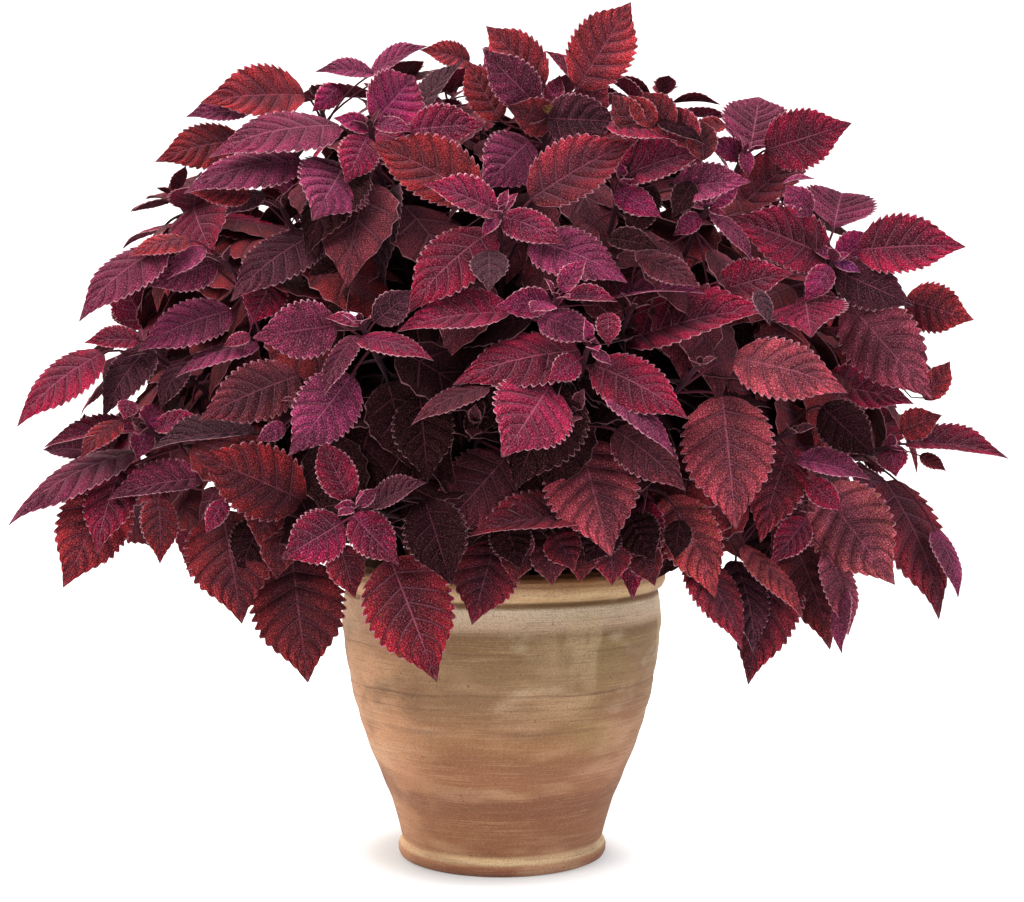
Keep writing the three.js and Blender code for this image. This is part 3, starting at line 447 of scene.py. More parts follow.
frontStems = [
    {"node": "stem_crown", "foot": (4, 0), "shoots": [
        {"heart": (547, 113), "bud": "gold", "leaves": [
            ((536, 102), (484, 47), 60, "magentaMauve"),
            ((545, 85), (486, 26), 50, "backlit"),
            ((577, 88), (631, 2), 65, "backlit"),
            ((545, 118), (626, 122), 50, "darkMauve"),
            ((580, 82), (545, 51), 16, "crimson"),
            ((500, 120), (466, 60), 40, "brick"),
            ((530, 140), (480, 190), 60, "pinkMauve"),
        ], "young": [
            ((548, 108), (560, 75), 22, "magenta"),
            ((545, 115), (508, 123), 18, "dull"),
            ((536, 104), (482, 48), 46, "magentaMauve", False),
            ((552, 122), (506, 106), 40, "brown"),
            ((572, 122), (608, 84), 40, "darkRed"),
        ]},
        {"heart": (480, 75), "sunk": 90, "leaves": [
            ((470, 62), (420, 50), 25, "backlit"),
            ((415, 115), (463, 62), 22, "greyMauve"),
        ]},
    ]},
    {"node": "stem_upper_left", "foot": (-30, -20), "shoots": [
        {"heart": (370, 130), "leaves": [
            ((374, 122), (415, 76), 60, "young"),
            ((367, 136), (345, 184), 42, "magenta"),
            ((410, 130), (487, 125), 42, "magenta"),
            ((340, 125), (208, 158), 40, "magentaMauve"),
            ((345, 165), (312, 221), 75, "pinkMauve"),
            ((302, 160), (183, 194), 38, "pinkMauve"),
            ((395, 185), (385, 290), 30, "greyMauve"),
        ], "young": [
            ((371, 129), (333, 118), 20, "young"),
            ((374, 122), (413, 132), 18, "young"),
        ]},
        {"heart": (318, 98), "sunk": 45, "leaves": [
            ((305, 95), (200, 103), 50, "backlit"),
            ((250, 112), (186, 117), 25, "pinkMauve"),
            ((245, 140), (155, 162), 45, "brick"),
            ((375, 75), (315, 72), 18, "pinkMauve"),
            ((370, 75), (428, 46), 18, "pinkMauve"),
        ], "young": [
            ((340, 86), (312, 112), 25, "young"),
        ]},
    ]},
    {"node": "stem_left_shoulder", "foot": (-58, -4), "shoots": [
        {"heart": (282, 208), "sunk": 30, "leaves": [
            ((250, 195), (187, 192), 32, "backlit"),
            ((265, 193), (224, 215), 20, "darkMauve"),
            ((318, 232), (230, 302), 50, "darkMauve"),
            ((275, 275), (250, 326), 45, "crimson"),
            ((352, 262), (301, 287), 35, "shade"),
        ]},
        {"heart": (225, 262), "sunk": 10, "leaves": [
            ((232, 310), (137, 352), 45, "pinkMauve"),
            ((217, 263), (147, 287), 40, "magentaMauve"),
            ((205, 247), (167, 280), 20, "pinkMauve"),
            ((190, 240), (128, 257), 22, "backlit"),
            ((165, 245), (79, 322), 40, "magentaMauve"),
            ((258, 342), (175, 378), 20, "pinkMauve"),
        ], "young": [
            ((250, 335), (223, 347), 14, "magenta"),
        ]},
    ]},
    {"node": "stem_far_left", "foot": (-84, -20), "shoots": [
        {"heart": (146, 430), "leaves": [
            ((135, 430), (43, 448), 22, "magenta"),
            ((155, 428), (205, 420), 22, "magenta"),
            ((258, 433), (150, 450), 26, "greyMauve"),
            ((135, 450), (8, 526), 34, "magentaMauve"),
            ((125, 460), (97, 555), 52, "crimson"),
            ((203, 478), (107, 500), 33, "magentaMauve"),
            ((115, 480), (63, 588), 72, "backlit"),
            ((120, 420), (80, 460), 24, "brick"),
        ], "young": [
            ((147, 428), (158, 403), 26, "young"),
            ((146, 430), (137, 460), 26, "young"),
            ((130, 400), (124, 420), 22, "magenta"),
        ]},
        {"heart": (150, 352), "sunk": 15, "leaves": [
            ((103, 352), (17, 427), 42, "crimson"),
            ((150, 345), (103, 418), 40, "darkMauve"),
            ((185, 360), (160, 410), 25, "darkMauve"),
            ((140, 340), (84, 343), 24, "crimson"),
        ]},
    ]},
    {"node": "stem_left_heart", "foot": (-40, -44), "shoots": [
        {"heart": (361, 324), "bud": "young", "leaves": [
            ((337, 325), (252, 338), 58, "magentaMauve"),
            ((375, 322), (412, 290), 35, "darkMauve"),
            ((358, 338), (434, 361), 25, "magenta"),
            ((355, 335), (324, 397), 25, "magentaMauve"),
            ((352, 375), (289, 456), 65, "pinkMauve"),
        ], "young": [
            ((360, 325), (325, 318), 14, "magenta"),
        ]},
        {"heart": (300, 400), "sunk": 30, "leaves": [
            ((300, 375), (198, 421), 60, "dull"),
            ((303, 500), (193, 452), 75, "brick"),
        ], "young": [
            ((285, 425), (256, 441), 20, "pinkMauve"),
        ]},
    ]},
    {"node": "stem_lower_left", "foot": (-66, -58), "shoots": [
        {"heart": (250, 500), "sunk": 25, "leaves": [
            ((222, 510), (242, 624), 90, "brown"),
            ((292, 556), (308, 683), 95, "brown"),
            ((158, 497), (160, 564), 38, "brick"),
            ((225, 500), (206, 534), 22, "magenta"),
        ], "young": [
            ((340, 545), (355, 598), 40, "darkRed"),
            ((262, 520), (238, 574), 46, "shade"),
            ((282, 525), (276, 580), 40, "brown"),
            ((270, 500), (258, 546), 40, "brown"),
        ]},
    ]},
    {"node": "stem_low_heart", "foot": (-36, -82), "shoots": [
        {"heart": (356, 506), "bud": "young", "leaves": [
            ((343, 522), (281, 559), 55, "magenta"),
            ((353, 515), (399, 565), 45, "magenta"),
            ((350, 500), (320, 438), 40, "crimson"),
            ((362, 505), (427, 482), 28, "darkMauve"),
            ((390, 558), (437, 682), 92, "crimsonFlecked"),
            ((425, 500), (452, 586), 64, "shade"),
        ], "young": [
            ((355, 506), (334, 507), 14, "young"),
            ((357, 506), (378, 488), 16, "young"),
        ]},
    ]},
    {"node": "stem_high_centre", "foot": (-6, -24), "shoots": [
        {"heart": (500, 213), "bud": "young", "leaves": [
            ((500, 213), (422, 184), 35, "magenta"),
            ((502, 216), (566, 246), 35, "magenta"),
            ((492, 230), (406, 315), 60, "crimson"),
            ((480, 200), (369, 143), 65, "brick"),
            ((530, 200), (634, 142), 62, "darkRed"),
            ((530, 240), (628, 283), 50, "pinkMauve"),
            ((489, 250), (489, 292), 40, "greyMauve"),
        ], "young": [
            ((501, 213), (518, 193), 12, "young"),
            ((499, 215), (482, 238), 14, "young"),
        ]},
    ]},
    {"node": "stem_centre", "foot": (10, -50), "shoots": [
        {"heart": (589, 345), "bud": "young", "leaves": [
            ((580, 350), (452, 385), 58, "crimson"),
            ((588, 350), (548, 380), 30, "magenta"),
            ((550, 385), (501, 458), 85, "pinkCrimson"),
            ((592, 364), (688, 419), 55, "crimson"),
            ((608, 392), (674, 457), 25, "pinkMauve"),
            ((488, 387), (411, 425), 22, "dull"),
        ], "young": [
            ((593, 350), (612, 365), 12, "young"),
        ]},
        {"heart": (556, 299), "sunk": 6, "bud": "young", "leaves": [
            ((550, 300), (495, 307), 32, "young"),
            ((566, 296), (618, 302), 18, "magenta"),
            ((510, 312), (396, 332), 38, "pinkCrimson"),
            ((540, 316), (600, 344), 35, "pinkMauve"),
            ((608, 312), (608, 347), 26, "crimson"),
        ]},
    ]},
    {"node": "stem_low_centre", "foot": (-10, -90), "shoots": [
        {"heart": (475, 425), "sunk": 40, "leaves": [
            ((420, 395), (428, 483), 62, "shade"),
            ((508, 455), (435, 537), 75, "dull"),
            ((540, 440), (526, 481), 38, "darkRed"),
        ], "young": [
            ((480, 400), (469, 442), 18, "shade"),
        ]},
        {"heart": (525, 515), "sunk": 40, "leaves": [
            ((495, 543), (472, 625), 68, "darkRed"),
            ((555, 532), (575, 571), 40, "darkRed"),
            ((560, 495), (545, 566), 55, "shade"),
        ], "young": [
            ((505, 520), (520, 570), 44, "shade"),
            ((528, 532), (552, 573), 30, "shade"),
            ((560, 535), (592, 572), 34, "shade"),
            ((525, 530), (526, 562), 18, "magenta"),
            ((520, 538), (514, 584), 38, "brown"),
            ((548, 540), (552, 586), 40, "dull"),
            ((582, 538), (580, 583), 36, "brown"),
        ]},
    ]},
    {"node": "stem_low_middle", "foot": (26, -82), "shoots": [
        {"heart": (576, 412), "sunk": 20, "leaves": [
            ((580, 440), (611, 557), 97, "dullCrimson"),
            ((615, 430), (686, 491), 50, "dull"),
        ]},
        {"heart": (655, 478), "sunk": 35, "leaves": [
            ((645, 500), (633, 601), 50, "crimson"),
            ((668, 495), (716, 599), 62, "flecked"),
            ((690, 555), (742, 650), 45, "darkRed"),
            ((680, 520), (675, 560), 30, "shade"),
            ((590, 515), (467, 537), 40, "darkRed"),
        ], "young": [
            ((610, 520), (585, 564), 44, "shade"),
            ((628, 515), (655, 562), 46, "shade"),
            ((612, 540), (612, 586), 40, "darkRed"),
            ((640, 545), (655, 586), 36, "brown"),
        ]},
    ]},
    {"node": "stem_upper_middle", "foot": (32, -14), "shoots": [
        {"heart": (622, 183), "bud": "young", "leaves": [
            ((618, 178), (714, 151), 42, "magenta"),
            ((615, 190), (662, 218), 30, "young"),
            ((672, 190), (752, 182), 38, "pinkMauve"),
            ((607, 125), (680, 142), 20, "crimson"),
            ((655, 125), (628, 95), 25, "brick"),
        ], "young": [
            ((659, 121), (704, 144), 15, "shade"),
            ((672, 130), (642, 92), 38, "brick"),
            ((694, 146), (668, 104), 34, "darkRed"),
            ((704, 160), (700, 118), 32, "brown"),
            ((640, 132), (612, 94), 32, "brown"),
            ((652, 184), (628, 242), 36, "shade"),
            ((692, 182), (672, 218), 28, "shade"),
        ]},
        {"heart": (707, 205), "bud": "young", "leaves": [
            ((712, 212), (752, 262), 18, "magentaMauve"),
            ((715, 292), (794, 273), 40, "crimson"),
        ], "young": [
            ((708, 205), (740, 185), 22, "young"),
            ((705, 208), (677, 202), 10, "young"),
            ((700, 215), (673, 236), 22, "young"),
            ((709, 208), (727, 217), 8, "magenta"),
        ]},
    ]},
    {"node": "stem_upper_right", "foot": (46, 10), "shoots": [
        {"heart": (745, 152), "bud": "young", "leaves": [
            ((750, 150), (759, 97), 68, "magentaMauve"),
            ((765, 150), (852, 123), 60, "crimson"),
            ((735, 212), (818, 147), 50, "darkRed"),
            ((745, 155), (705, 140), 25, "young"),
            ((725, 125), (688, 132), 18, "brick"),
        ], "young": [
            ((745, 150), (748, 178), 16, "young"),
        ]},
    ]},
    {"node": "stem_right", "foot": (74, -16), "shoots": [
        {"heart": (833, 262), "bud": "young", "leaves": [
            ((836, 258), (871, 233), 32, "young"),
            ((830, 266), (804, 303), 28, "young"),
            ((858, 250), (966, 247), 58, "crimson"),
            ((835, 270), (914, 306), 50, "darkMauve"),
            ((828, 257), (726, 217), 60, "crimson"),
            ((808, 300), (811, 338), 80, "pinkCrimson"),
            ((848, 303), (933, 400), 75, "duskyRed"),
            ((834, 228), (842, 193), 75, "magentaMauve", True),
        ], "young": [
            ((832, 258), (808, 245), 12, "young"),
            ((835, 262), (861, 273), 12, "violet"),
            ((810, 215), (785, 185), 30, "pinkMauve"),
            ((783, 183), (815, 179), 6, "pinkMauve"),
        ]},
        {"heart": (880, 345), "sunk": 20, "leaves": [
            ((905, 300), (974, 320), 50, "backlit"),
            ((925, 400), (950, 361), 28, "backlit"),
            ((820, 385), (914, 404), 45, "crimson"),
        ]},
    ]},
    {"node": "stem_right_middle", "foot": (44, -44), "shoots": [
        {"heart": (698, 366), "sunk": 8, "leaves": [
            ((734, 358), (848, 393), 60, "dullCrimson"),
            ((722, 395), (736, 530), 93, "dullCrimson"),
        ]},
        {"heart": (632, 308), "sunk": 30, "leaves": [
            ((644, 258), (700, 288), 30, "dull"),
            ((608, 238), (660, 250), 25, "shade"),
            ((622, 340), (772, 310), 55, "crimson"),
            ((612, 296), (706, 294), 20, "pinkMauve"),
        ], "young": [
            ((757, 290), (770, 326), 18, "greyMauve"),
        ]},
    ]},
    {"node": "stem_far_right", "foot": (92, -34), "shoots": [
        {"heart": (889, 447), "bud": "young", "leaves": [
            ((890, 448), (896, 477), 32, "magenta"),
            ((905, 443), (1009, 459), 26, "crimson"),
            ((885, 480), (939, 620), 62, "darkRed"),
            ((935, 530), (958, 598), 22, "pinkMauve"),
            ((900, 430), (942, 415), 34, "backlit"),
        ], "young": [
            ((920, 455), (946, 471), 15, "brown"),
        ]},
    ]},
    {"node": "stem_low_right", "foot": (66, -66), "shoots": [
        {"heart": (792, 432), "sunk": 12, "leaves": [
            ((790, 445), (760, 543), 58, "darkRed"),
            ((795, 460), (871, 480), 28, "pinkMauve"),
            ((808, 481), (843, 511), 28, "crimson"),
            ((822, 406), (876, 457), 50, "shade"),
        ]},
        {"heart": (795, 505), "sunk": 30, "leaves": [
            ((807, 518), (770, 565), 35, "crimson"),
            ((820, 487), (895, 585), 85, "mauveFlecked"),
            ((790, 535), (830, 650), 62, "brown"),
            ((785, 570), (748, 685), 62, "darkRed"),
            ((735, 560), (753, 653), 45, "darkMauve"),
            ((742, 545), (803, 620), 25, "flecked"),
            ((845, 590), (842, 654), 20, "pinkMauve"),
        ], "young": [
            ((828, 552), (848, 636), 34, "duskyRed"),
        ]},
    ]},
]

backRows = [
    {"node": "stem_back_high", "turns": (90, 148, 208, 262), "heights": (664, 570), "foot": 34},
    {"node": "stem_back_low", "turns": (98, 138, 178, 218, 258), "heights": (460, 345), "foot": 76},
]
backRule = {"turnSpread": 6, "heightSpread": 16, "levelTurn": 16}   # degrees, mm, degrees
backTones = [
    ("brick", "crimson", "magenta"),
    ("darkRed", "crimson", "magentaMauve"),
    ("brown", "dullCrimson", "magenta"),
    ("dull", "pinkCrimson", "young"),
]

# colour by the midrib and by the margin, how far the veins show, and how many yellow freckles there are
tones = {
    "young": ("#701042", "#9c1648", 0.53, 0),
    "violet": ("#641a58", "#7c1856", 0.53, 0),
    "magenta": ("#600a30", "#900c34", 0.53, 0),
    "magentaMauve": ("#54162e", "#7c2444", 0.45, 0),
    "pinkMauve": ("#641a3c", "#8a2c52", 0.45, 0.03),
    "pinkCrimson": ("#740c30", "#a01840", 0.56, 0),
    "crimson": ("#560c24", "#980e34", 0.45, 0),
    "dullCrimson": ("#6a2a32", "#aa3c4c", 0.35, 0.2),
    "crimsonFlecked": ("#460c14", "#8e1024", 0.38, 0.25),
    "flecked": ("#7a3034", "#b2343e", 0.28, 0.5),
    "mauveFlecked": ("#6c323e", "#aa4852", 0.28, 0.5),
    "darkRed": ("#481620", "#8a1a2c", 0.28, 0.15),
    "darkMauve": ("#34121e", "#54202f", 0.33, 0),
    "greyMauve": ("#341e24", "#462830", 0.26, 0),
    "dull": ("#40161e", "#6a242e", 0.24, 0.04),
    # painted light: the red glow of light shining through a leaf from behind
    "backlit": ("#641e26", "#a0262c", 0.3, 0.05),
    "brick": ("#54161a", "#88181c", 0.24, 0.03),
    "brown": ("#42161a", "#7a1e22", 0.2, 0.04),
    # painted shade: a near-black tone for leaves that stand for the shade deep in the bush
    "shade": ("#1c0b0c", "#281213", 0.12, 0.02),
    "duskyRed": ("#642c3a", "#92384a", 0.35, 0.03),
    "gold": ("#b98a4a", "#a8603a", 0, 0),
}


bladeShape = {
    "thickness": 0.7, "rimThickness": 0.3, "rimWidth": 1.5, "crease": 0.3,
    "midribDepth": 1.2, "midribShare": 0.1, "fullMidrib": 70,   # mm, share of the half width, mm of blade
    "toothDepth": 0.13, "toothMiddle": 0.6, "toothLean": 1.5, "toothForward": 0.016, "plainMargin": 0.4,
    "toothedFrom": 0.09, "toothedTo": 0.95, "neckRows": (0.012, 0.035, 0.062), "tipRow": 0.985,
    "rowsWithin": (0.003, 0.994), "narrowest": 4, "patternShift": 7,
    "veinSkew": 0.24, "quilt": 0.04, "ripple": 0.034, "ripples": 1.7, "underside": 0.7,
    # the first of each pair is for a standing blade, the second for a hanging one
    "cup": (0.28, -0.1), "arch": (0.06, 0.09), "hangsBelow": -0.25,
    # how far leaves differ in cup, sideways bend and tone, and how dark the painted shade on the half turned
    # from the light may be
    "cupSpread": 0.1, "sickle": 0.0125, "toneSpread": 0.24, "paintedHalfShade": 0.42,
}


def ovate(t):
    return t ** 0.55 * (1 - t) ** 0.9 / 0.382


def detailOf(length, grade):
    # teeth on each side, rows to a tooth, columns across each half, and pairs of side veins
    if grade == "fill":
        plan = (5, 2, (0.0,), 5)
    elif length < 20:
        plan = (4, 2, (0.0,), 3)
    elif length < 44:
        plan = (7, 2, (0.0, 0.4), 5)
    elif grade == "back":
        plan = (10, 3, (0.0, 0.35), 6)
    elif length < 74:
        plan = (11, 4, (0.0, 0.12, 0.55), 7)
    else:
        plan = (13, 4, (0.0, 0.1, 0.38, 0.7), 8)
    return plan


def bladeLattice(teeth, perTooth, columns, halfWidth):
    # rows follow the side veins, which lean forward, and meet the margin evenly so that the teeth are even
    first, last = bladeShape["toothedFrom"], bladeShape["toothedTo"]
    toothRows = first + (last - first) * np.arange(teeth * perTooth + 1) / (teeth * perTooth)
    atMargin = np.concatenate([bladeShape["neckRows"], toothRows, [bladeShape["tipRow"]]])
    skew = bladeShape["veinSkew"]
    v = ((1 + 4 * skew) - np.sqrt((1 + 4 * skew) ** 2 - 16 * skew * atMargin)) / (8 * skew)
    rim = 1 - bladeShape["rimWidth"] / max(halfWidth, bladeShape["narrowest"])
    side = np.array([*columns, rim, 1.0])
    s = np.concatenate([-side[:0:-1], side])
    vv, ss = np.meshgrid(v, s, indexing="ij")

    # how far each row's teeth stand out
    margin = np.repeat(atMargin[:, None], len(s), axis=1)
    phase = (margin - first) / (last - first) * teeth
    inTeeth = (margin >= first - 1e-6) & (margin < last - 1e-6)
    inTooth = phase - np.floor(phase + 1e-6)
    rounded = np.sin(math.pi * np.clip(inTooth, 0, 1) ** bladeShape["toothLean"])
    rounded = np.where(inTeeth, rounded, bladeShape["plainMargin"])
    return vv, ss, rim, inTeeth, rounded


def bladeSkin(tone, size, t, light):
    # the colour, scaled by light, which holds the leaf's random tone and the painted shade of its dim half,
    # and how much rim, freckle and vein show
    innerHex, outerHex, veins, flecks = tones[tone]
    inner, outer = np.array(linear(innerHex)), np.array(linear(outerHex))
    share = (smooth(0.15, 1.0, size) * 0.8 + 0.3 * smooth(0.5, 1.0, t)).clip(0, 1)[..., None]
    colour = (inner * (1 - share) + outer * share) * light[..., None]
    detail = np.zeros(colour.shape)
    detail[..., 0] = size > 0.999
    detail[..., 1] = flecks * smooth(0.2, 0.9, size)
    detail[..., 2] = veins
    return colour, detail


def bladeGrid(leaf, draw, grade):
    teeth, perTooth, columns, veinPairs = detailOf(leaf["length"], grade)
    length = np.linalg.norm(leaf["tip"] - leaf["base"])
    along = (leaf["tip"] - leaf["base"]) / length
    face = unit(leaf["facing"] - along * (leaf["facing"] @ along))
    across = np.cross(along, face)
    halfWidth = leaf["width"] / 2
    hanging = int(along[2] < bladeShape["hangsBelow"])
    cup, arch = bladeShape["cup"][hanging], bladeShape["arch"][hanging]
    cups = [cup + spread(0, bladeShape["cupSpread"], draw) for half in (0, 1)]
    phases = [6.28 * draw() for half in (0, 1)]
    sickle = spread(0, bladeShape["sickle"], draw)
    offset = [bladeShape["patternShift"] * draw() for axis in (0, 1)]
    shade = spread(1, bladeShape["toneSpread"], draw)
    shadedHalf = 1 if draw() > 0.5 else -1
    paintedHalfShade = bladeShape["paintedHalfShade"] * draw()

    vv, ss, rim, inTeeth, rounded = bladeLattice(teeth, perTooth, columns, halfWidth)
    size = np.abs(ss)
    t = vv + bladeShape["veinSkew"] * size * (0.75 + 0.25 * size) * arched(vv)
    t = t + bladeShape["toothForward"] * rounded * size ** 8 * inTeeth
    t = np.clip(t, *bladeShape["rowsWithin"])
    taper = 1 - 0.5 * smooth(0.6, 1.0, t)
    halfHere = halfWidth * ovate(t) * taper
    edge = 1 + bladeShape["toothDepth"] * (rounded - bladeShape["toothMiddle"]) * size ** 7
    aside = ss * halfHere * edge + sickle * length * arched(t)

    veinRow = vv * veinPairs
    # the panels between the veins swell, and flatten out at the midrib, the margin, the base and the tip
    window = smooth(0.0, 0.14, size) * (1 - smooth(0.78, 1.0, size))
    window = window * smooth(0, 0.06, vv) * (1 - smooth(0.9, 1, vv))
    quilt = bladeShape["quilt"] * leaf["width"] * (np.abs(np.sin(math.pi * veinRow)) ** 0.8 - 0.5) * window
    wave = np.sin(2 * math.pi * bladeShape["ripples"] * vv + np.where(ss > 0, phases[0], phases[1]))
    ripple = bladeShape["ripple"] * leaf["width"] * wave * size ** 3
    cupHere = np.where(ss > 0, cups[0], cups[1]) * np.abs(aside)
    lift = arch * length * arched(t) * (0.75 + 0.5 * t) + cupHere + quilt + ripple * (1 - t)
    atMidrib = 1 - smooth(0, bladeShape["midribShare"], size)
    lift -= bladeShape["crease"] * atMidrib

    thick = bladeShape["thickness"] * (1 - 0.5 * t)
    thick = np.where(size > rim - 1e-6, bladeShape["rimThickness"], thick)
    midrib = bladeShape["midribDepth"] * (1 - 0.9 * t) * min(1, leaf["length"] / bladeShape["fullMidrib"])
    under = lift - thick - midrib * atMidrib

    middle = leaf["base"] + along * (t * length)[..., None] + across * aside[..., None]
    top = middle + face * lift[..., None]
    bottom = middle + face * under[..., None]

    # painted shade: one half of a folded blade is darkened as if turned from the light
    light = shade * (1 - paintedHalfShade * smooth(-0.12, 0.12, ss * shadedHalf))
    colour, detail = bladeSkin(leaf["tone"], size, t, light)
    blade = np.stack([ss, veinRow], -1)
    real = np.stack([aside + 100 * offset[0], t * length + 100 * offset[1]], -1) / 100
    return {"top": top, "bottom": bottom, "tip": leaf["tip"], "colour": colour, "detail": detail,
            "blade": blade, "real": real, "along": along, "veinPairs": veinPairs, "length": length}


def newPile():
    return {"points": [], "values": [], "faces": [], "slots": [], "count": 0}


def pile(store, points, faces, values, slot):
    # values hold the skin, detail, blade and millimetre columns of each point
    store["points"].append(points)
    store["values"].append(values)
    for face in faces:
        store["faces"].append(face + store["count"])
        store["slots"].append(slot)
    store["count"] += len(points)


skinSlots = {"blade": 0, "stem": 1, "shade": 2}   # places in each piece's list of materials


def gridFaces(rows, columns, start, flip):
    i, j = np.meshgrid(np.arange(rows - 1), np.arange(columns - 1), indexing="ij")
    a = (start + i * columns + j).ravel()
    corners = [a, a + 1, a + columns + 1, a + columns]
    return np.stack(corners[::-1] if flip else corners, -1)


def addBlade(store, leaf, draw, grade="front"):
    grid = bladeGrid(leaf, draw, grade)
    rows, columns = grid["top"].shape[:2]
    count = rows * columns
    points = np.concatenate([grid["top"].reshape(-1, 3), grid["bottom"].reshape(-1, 3), [grid["tip"]]])
    left = np.arange(rows - 1) * columns
    right = left + columns - 1
    foot = np.arange(columns - 1)
    end = (rows - 1) * columns + foot
    tip = np.full(columns - 1, 2 * count)
    corner = (rows - 1) * columns
    faces = [
        gridFaces(rows, columns, 0, False),
        gridFaces(rows, columns, count, True),
        np.stack([left, left + columns, left + columns + count, left + count], -1),
        np.stack([right, right + count, right + columns + count, right + columns], -1),
        np.stack([foot, foot + count, foot + 1 + count, foot + 1], -1),
        np.stack([end, end + 1, tip], -1),
        np.stack([end + 1 + count, end + count, tip], -1),
        np.array([[corner + count, corner, 2 * count]]),
        np.array([[corner + columns - 1, corner + columns - 1 + count, 2 * count]]),
    ]

    upper = grid["colour"].reshape(-1, 3)
    colour = np.concatenate([upper, upper * bladeShape["underside"], grid["colour"][-1, -1:]])
    detail = np.concatenate([grid["detail"].reshape(-1, 3)] * 2 + [[[1, 0, 0]]])
    blade = np.concatenate([grid["blade"].reshape(-1, 2)] * 2 + [[[0, grid["veinPairs"]]]])
    real = np.concatenate([grid["real"].reshape(-1, 2)] * 2 + [grid["real"][-1, columns // 2][None]])
    values = np.concatenate([colour, detail, blade, real], 1)
    pile(store, points, faces, values, skinSlots["shade" if leaf["tone"] == "shade" else "blade"])
    addStalk(store, leaf, grid, int(leaf["length"] > stalkLook["finer"] and grade != "fill"))


def runsAlong(path):
    return np.concatenate([[0], np.cumsum(np.linalg.norm(np.diff(path, axis=0), axis=1))])


def addTube(store, path, radii, sides, colours, square=0.0):
    rings = []
    side = np.array([1.0, 0.0, 0.0])
    angles = 2 * math.pi * np.arange(sides) / sides
    # a squared section with soft corners, and a shallow groove along each flat
    shape = 1 - square * np.sin(2 * angles) ** 2
    for k, point in enumerate(path):
        way = unit(path[min(k + 1, len(path) - 1)] - path[max(k - 1, 0)])
        side = unit(side - way * (side @ way))
        other = np.cross(way, side)
        spokes = np.cos(angles)[:, None] * side + np.sin(angles)[:, None] * other
        rings.append(point + spokes * (radii[k] * shape)[:, None])
    points = np.concatenate([np.array(rings).reshape(-1, 3), path[:1], path[-1:]])
    rows = len(path)
    i, j = np.meshgrid(np.arange(rows - 1), np.arange(sides), indexing="ij")
    a = (i * sides + j).ravel()
    b = (i * sides + (j + 1) % sides).ravel()
    walls = np.stack([a, b, b + sides, a + sides], -1)
    j = np.arange(sides)
    nextJ = (j + 1) % sides
    low = np.stack([nextJ, j, np.full(sides, rows * sides)], -1)
    last = (rows - 1) * sides
    high = np.stack([last + j, last + nextJ, np.full(sides, rows * sides + 1)], -1)
    colour = np.repeat(np.array(colours), sides, axis=0)
    colour = np.concatenate([colour, [colours[0], colours[-1]]])
    around = np.tile(angles / (2 * math.pi), rows) * 2 * math.pi * np.repeat(np.array(radii), sides)
    real = np.stack([around, np.repeat(runsAlong(path), sides)], -1) / 100
    real = np.concatenate([real, real[:1], real[-1:]])
    blank = np.zeros((len(points), 3))
    values = np.concatenate([colour, blank, blank[:, :2] + 0.5, real], 1)
    pile(store, points, [walls, low, high], values, skinSlots["stem"])


stalkLook = {
    "old": "#4a1a28", "young": "#621c38", "shade": "#1c0a10", "radius": 1.4, "neck": 1.0,
    "finer": 40, "steps": (3, 7), "sides": (4, 6),   # longer leaves' stalks get the second figures
    "joinsAt": 0.05, "joinsUnder": 0.5,              # share of the blade's length, mm
    "leaving": 0.4, "arriving": 0.3, "withGrowth": 0.35,   # shares of the stalk's reach, and of the growth
    "slimmest": 0.35, "fullLength": 130, "thins": 0.7,
}
freshTones = ("young", "violet", "magenta", "pinkCrimson")


def addStalk(store, leaf, grid, full):
    look = stalkLook
    into = leaf["base"] + grid["along"] * look["joinsAt"] * grid["length"]
    into = into - unit(leaf["facing"]) * look["joinsUnder"]
    gap = np.linalg.norm(into - leaf["root"])
    way = unit(into - leaf["root"])
    leave = leaf["root"] + unit(way + leaf["growth"] * look["withGrowth"]) * look["leaving"] * gap
    arrive = into - grid["along"] * look["arriving"] * gap
    path = bezier([leaf["root"], leave, arrive, into], look["steps"][full])
    size = min(1, look["slimmest"] + leaf["length"] / look["fullLength"])
    t = np.linspace(0, 1, len(path))
    thinning = (look["radius"] - look["neck"]) * np.sin(math.pi * t * look["thins"])
    radii = size * (look["radius"] - thinning)
    # stalks of the leaves in painted shade take the dark shade colour
    age = "young" if leaf["tone"] in freshTones else "shade" if leaf["tone"] == "shade" else "old"
    addTube(store, path, radii, look["sides"][full], [linear(look[age])] * len(path))


stemLook = {
    "old": "#1e0e10", "green": "#241614", "young": "#30121e", "greenShare": 0.4,
    "square": 0.16, "jointEvery": 42, "jointShare": 0.09, "sides": 12, "slimness": 0.94, "swelling": 0.1,
}


def addStem(store, path, fromRadius, toRadius):
    # a little thinner than the straight taper, with a swelling at each joint
    runs = runsAlong(path)
    t = runs / runs[-1]
    joint = np.exp(-((((runs / stemLook["jointEvery"]) % 1) - 0.5) / stemLook["jointShare"]) ** 2)
    swollen = stemLook["slimness"] + stemLook["swelling"] * joint
    radii = (fromRadius + (toRadius - fromRadius) * t) * swollen
    old, young, green = (np.array(linear(stemLook[age])) for age in ("old", "young", "green"))
    colours = []
    for share, ring in zip(t, stemLook["greenShare"] * joint):
        colour = old * (1 - share) + young * share
        colours.append(colour * (1 - ring) + green * ring)
    addTube(store, path, radii, stemLook["sides"], colours, stemLook["square"])


def placed(name, mesh, materials):
    mesh.polygons.foreach_set("use_smooth", np.ones(len(mesh.polygons), bool))
    for material in materials:
        mesh.materials.append(material)
    mesh.validate()
    piece = bpy.data.objects.new(name, mesh)
    bpy.context.scene.collection.objects.link(piece)
    return piece


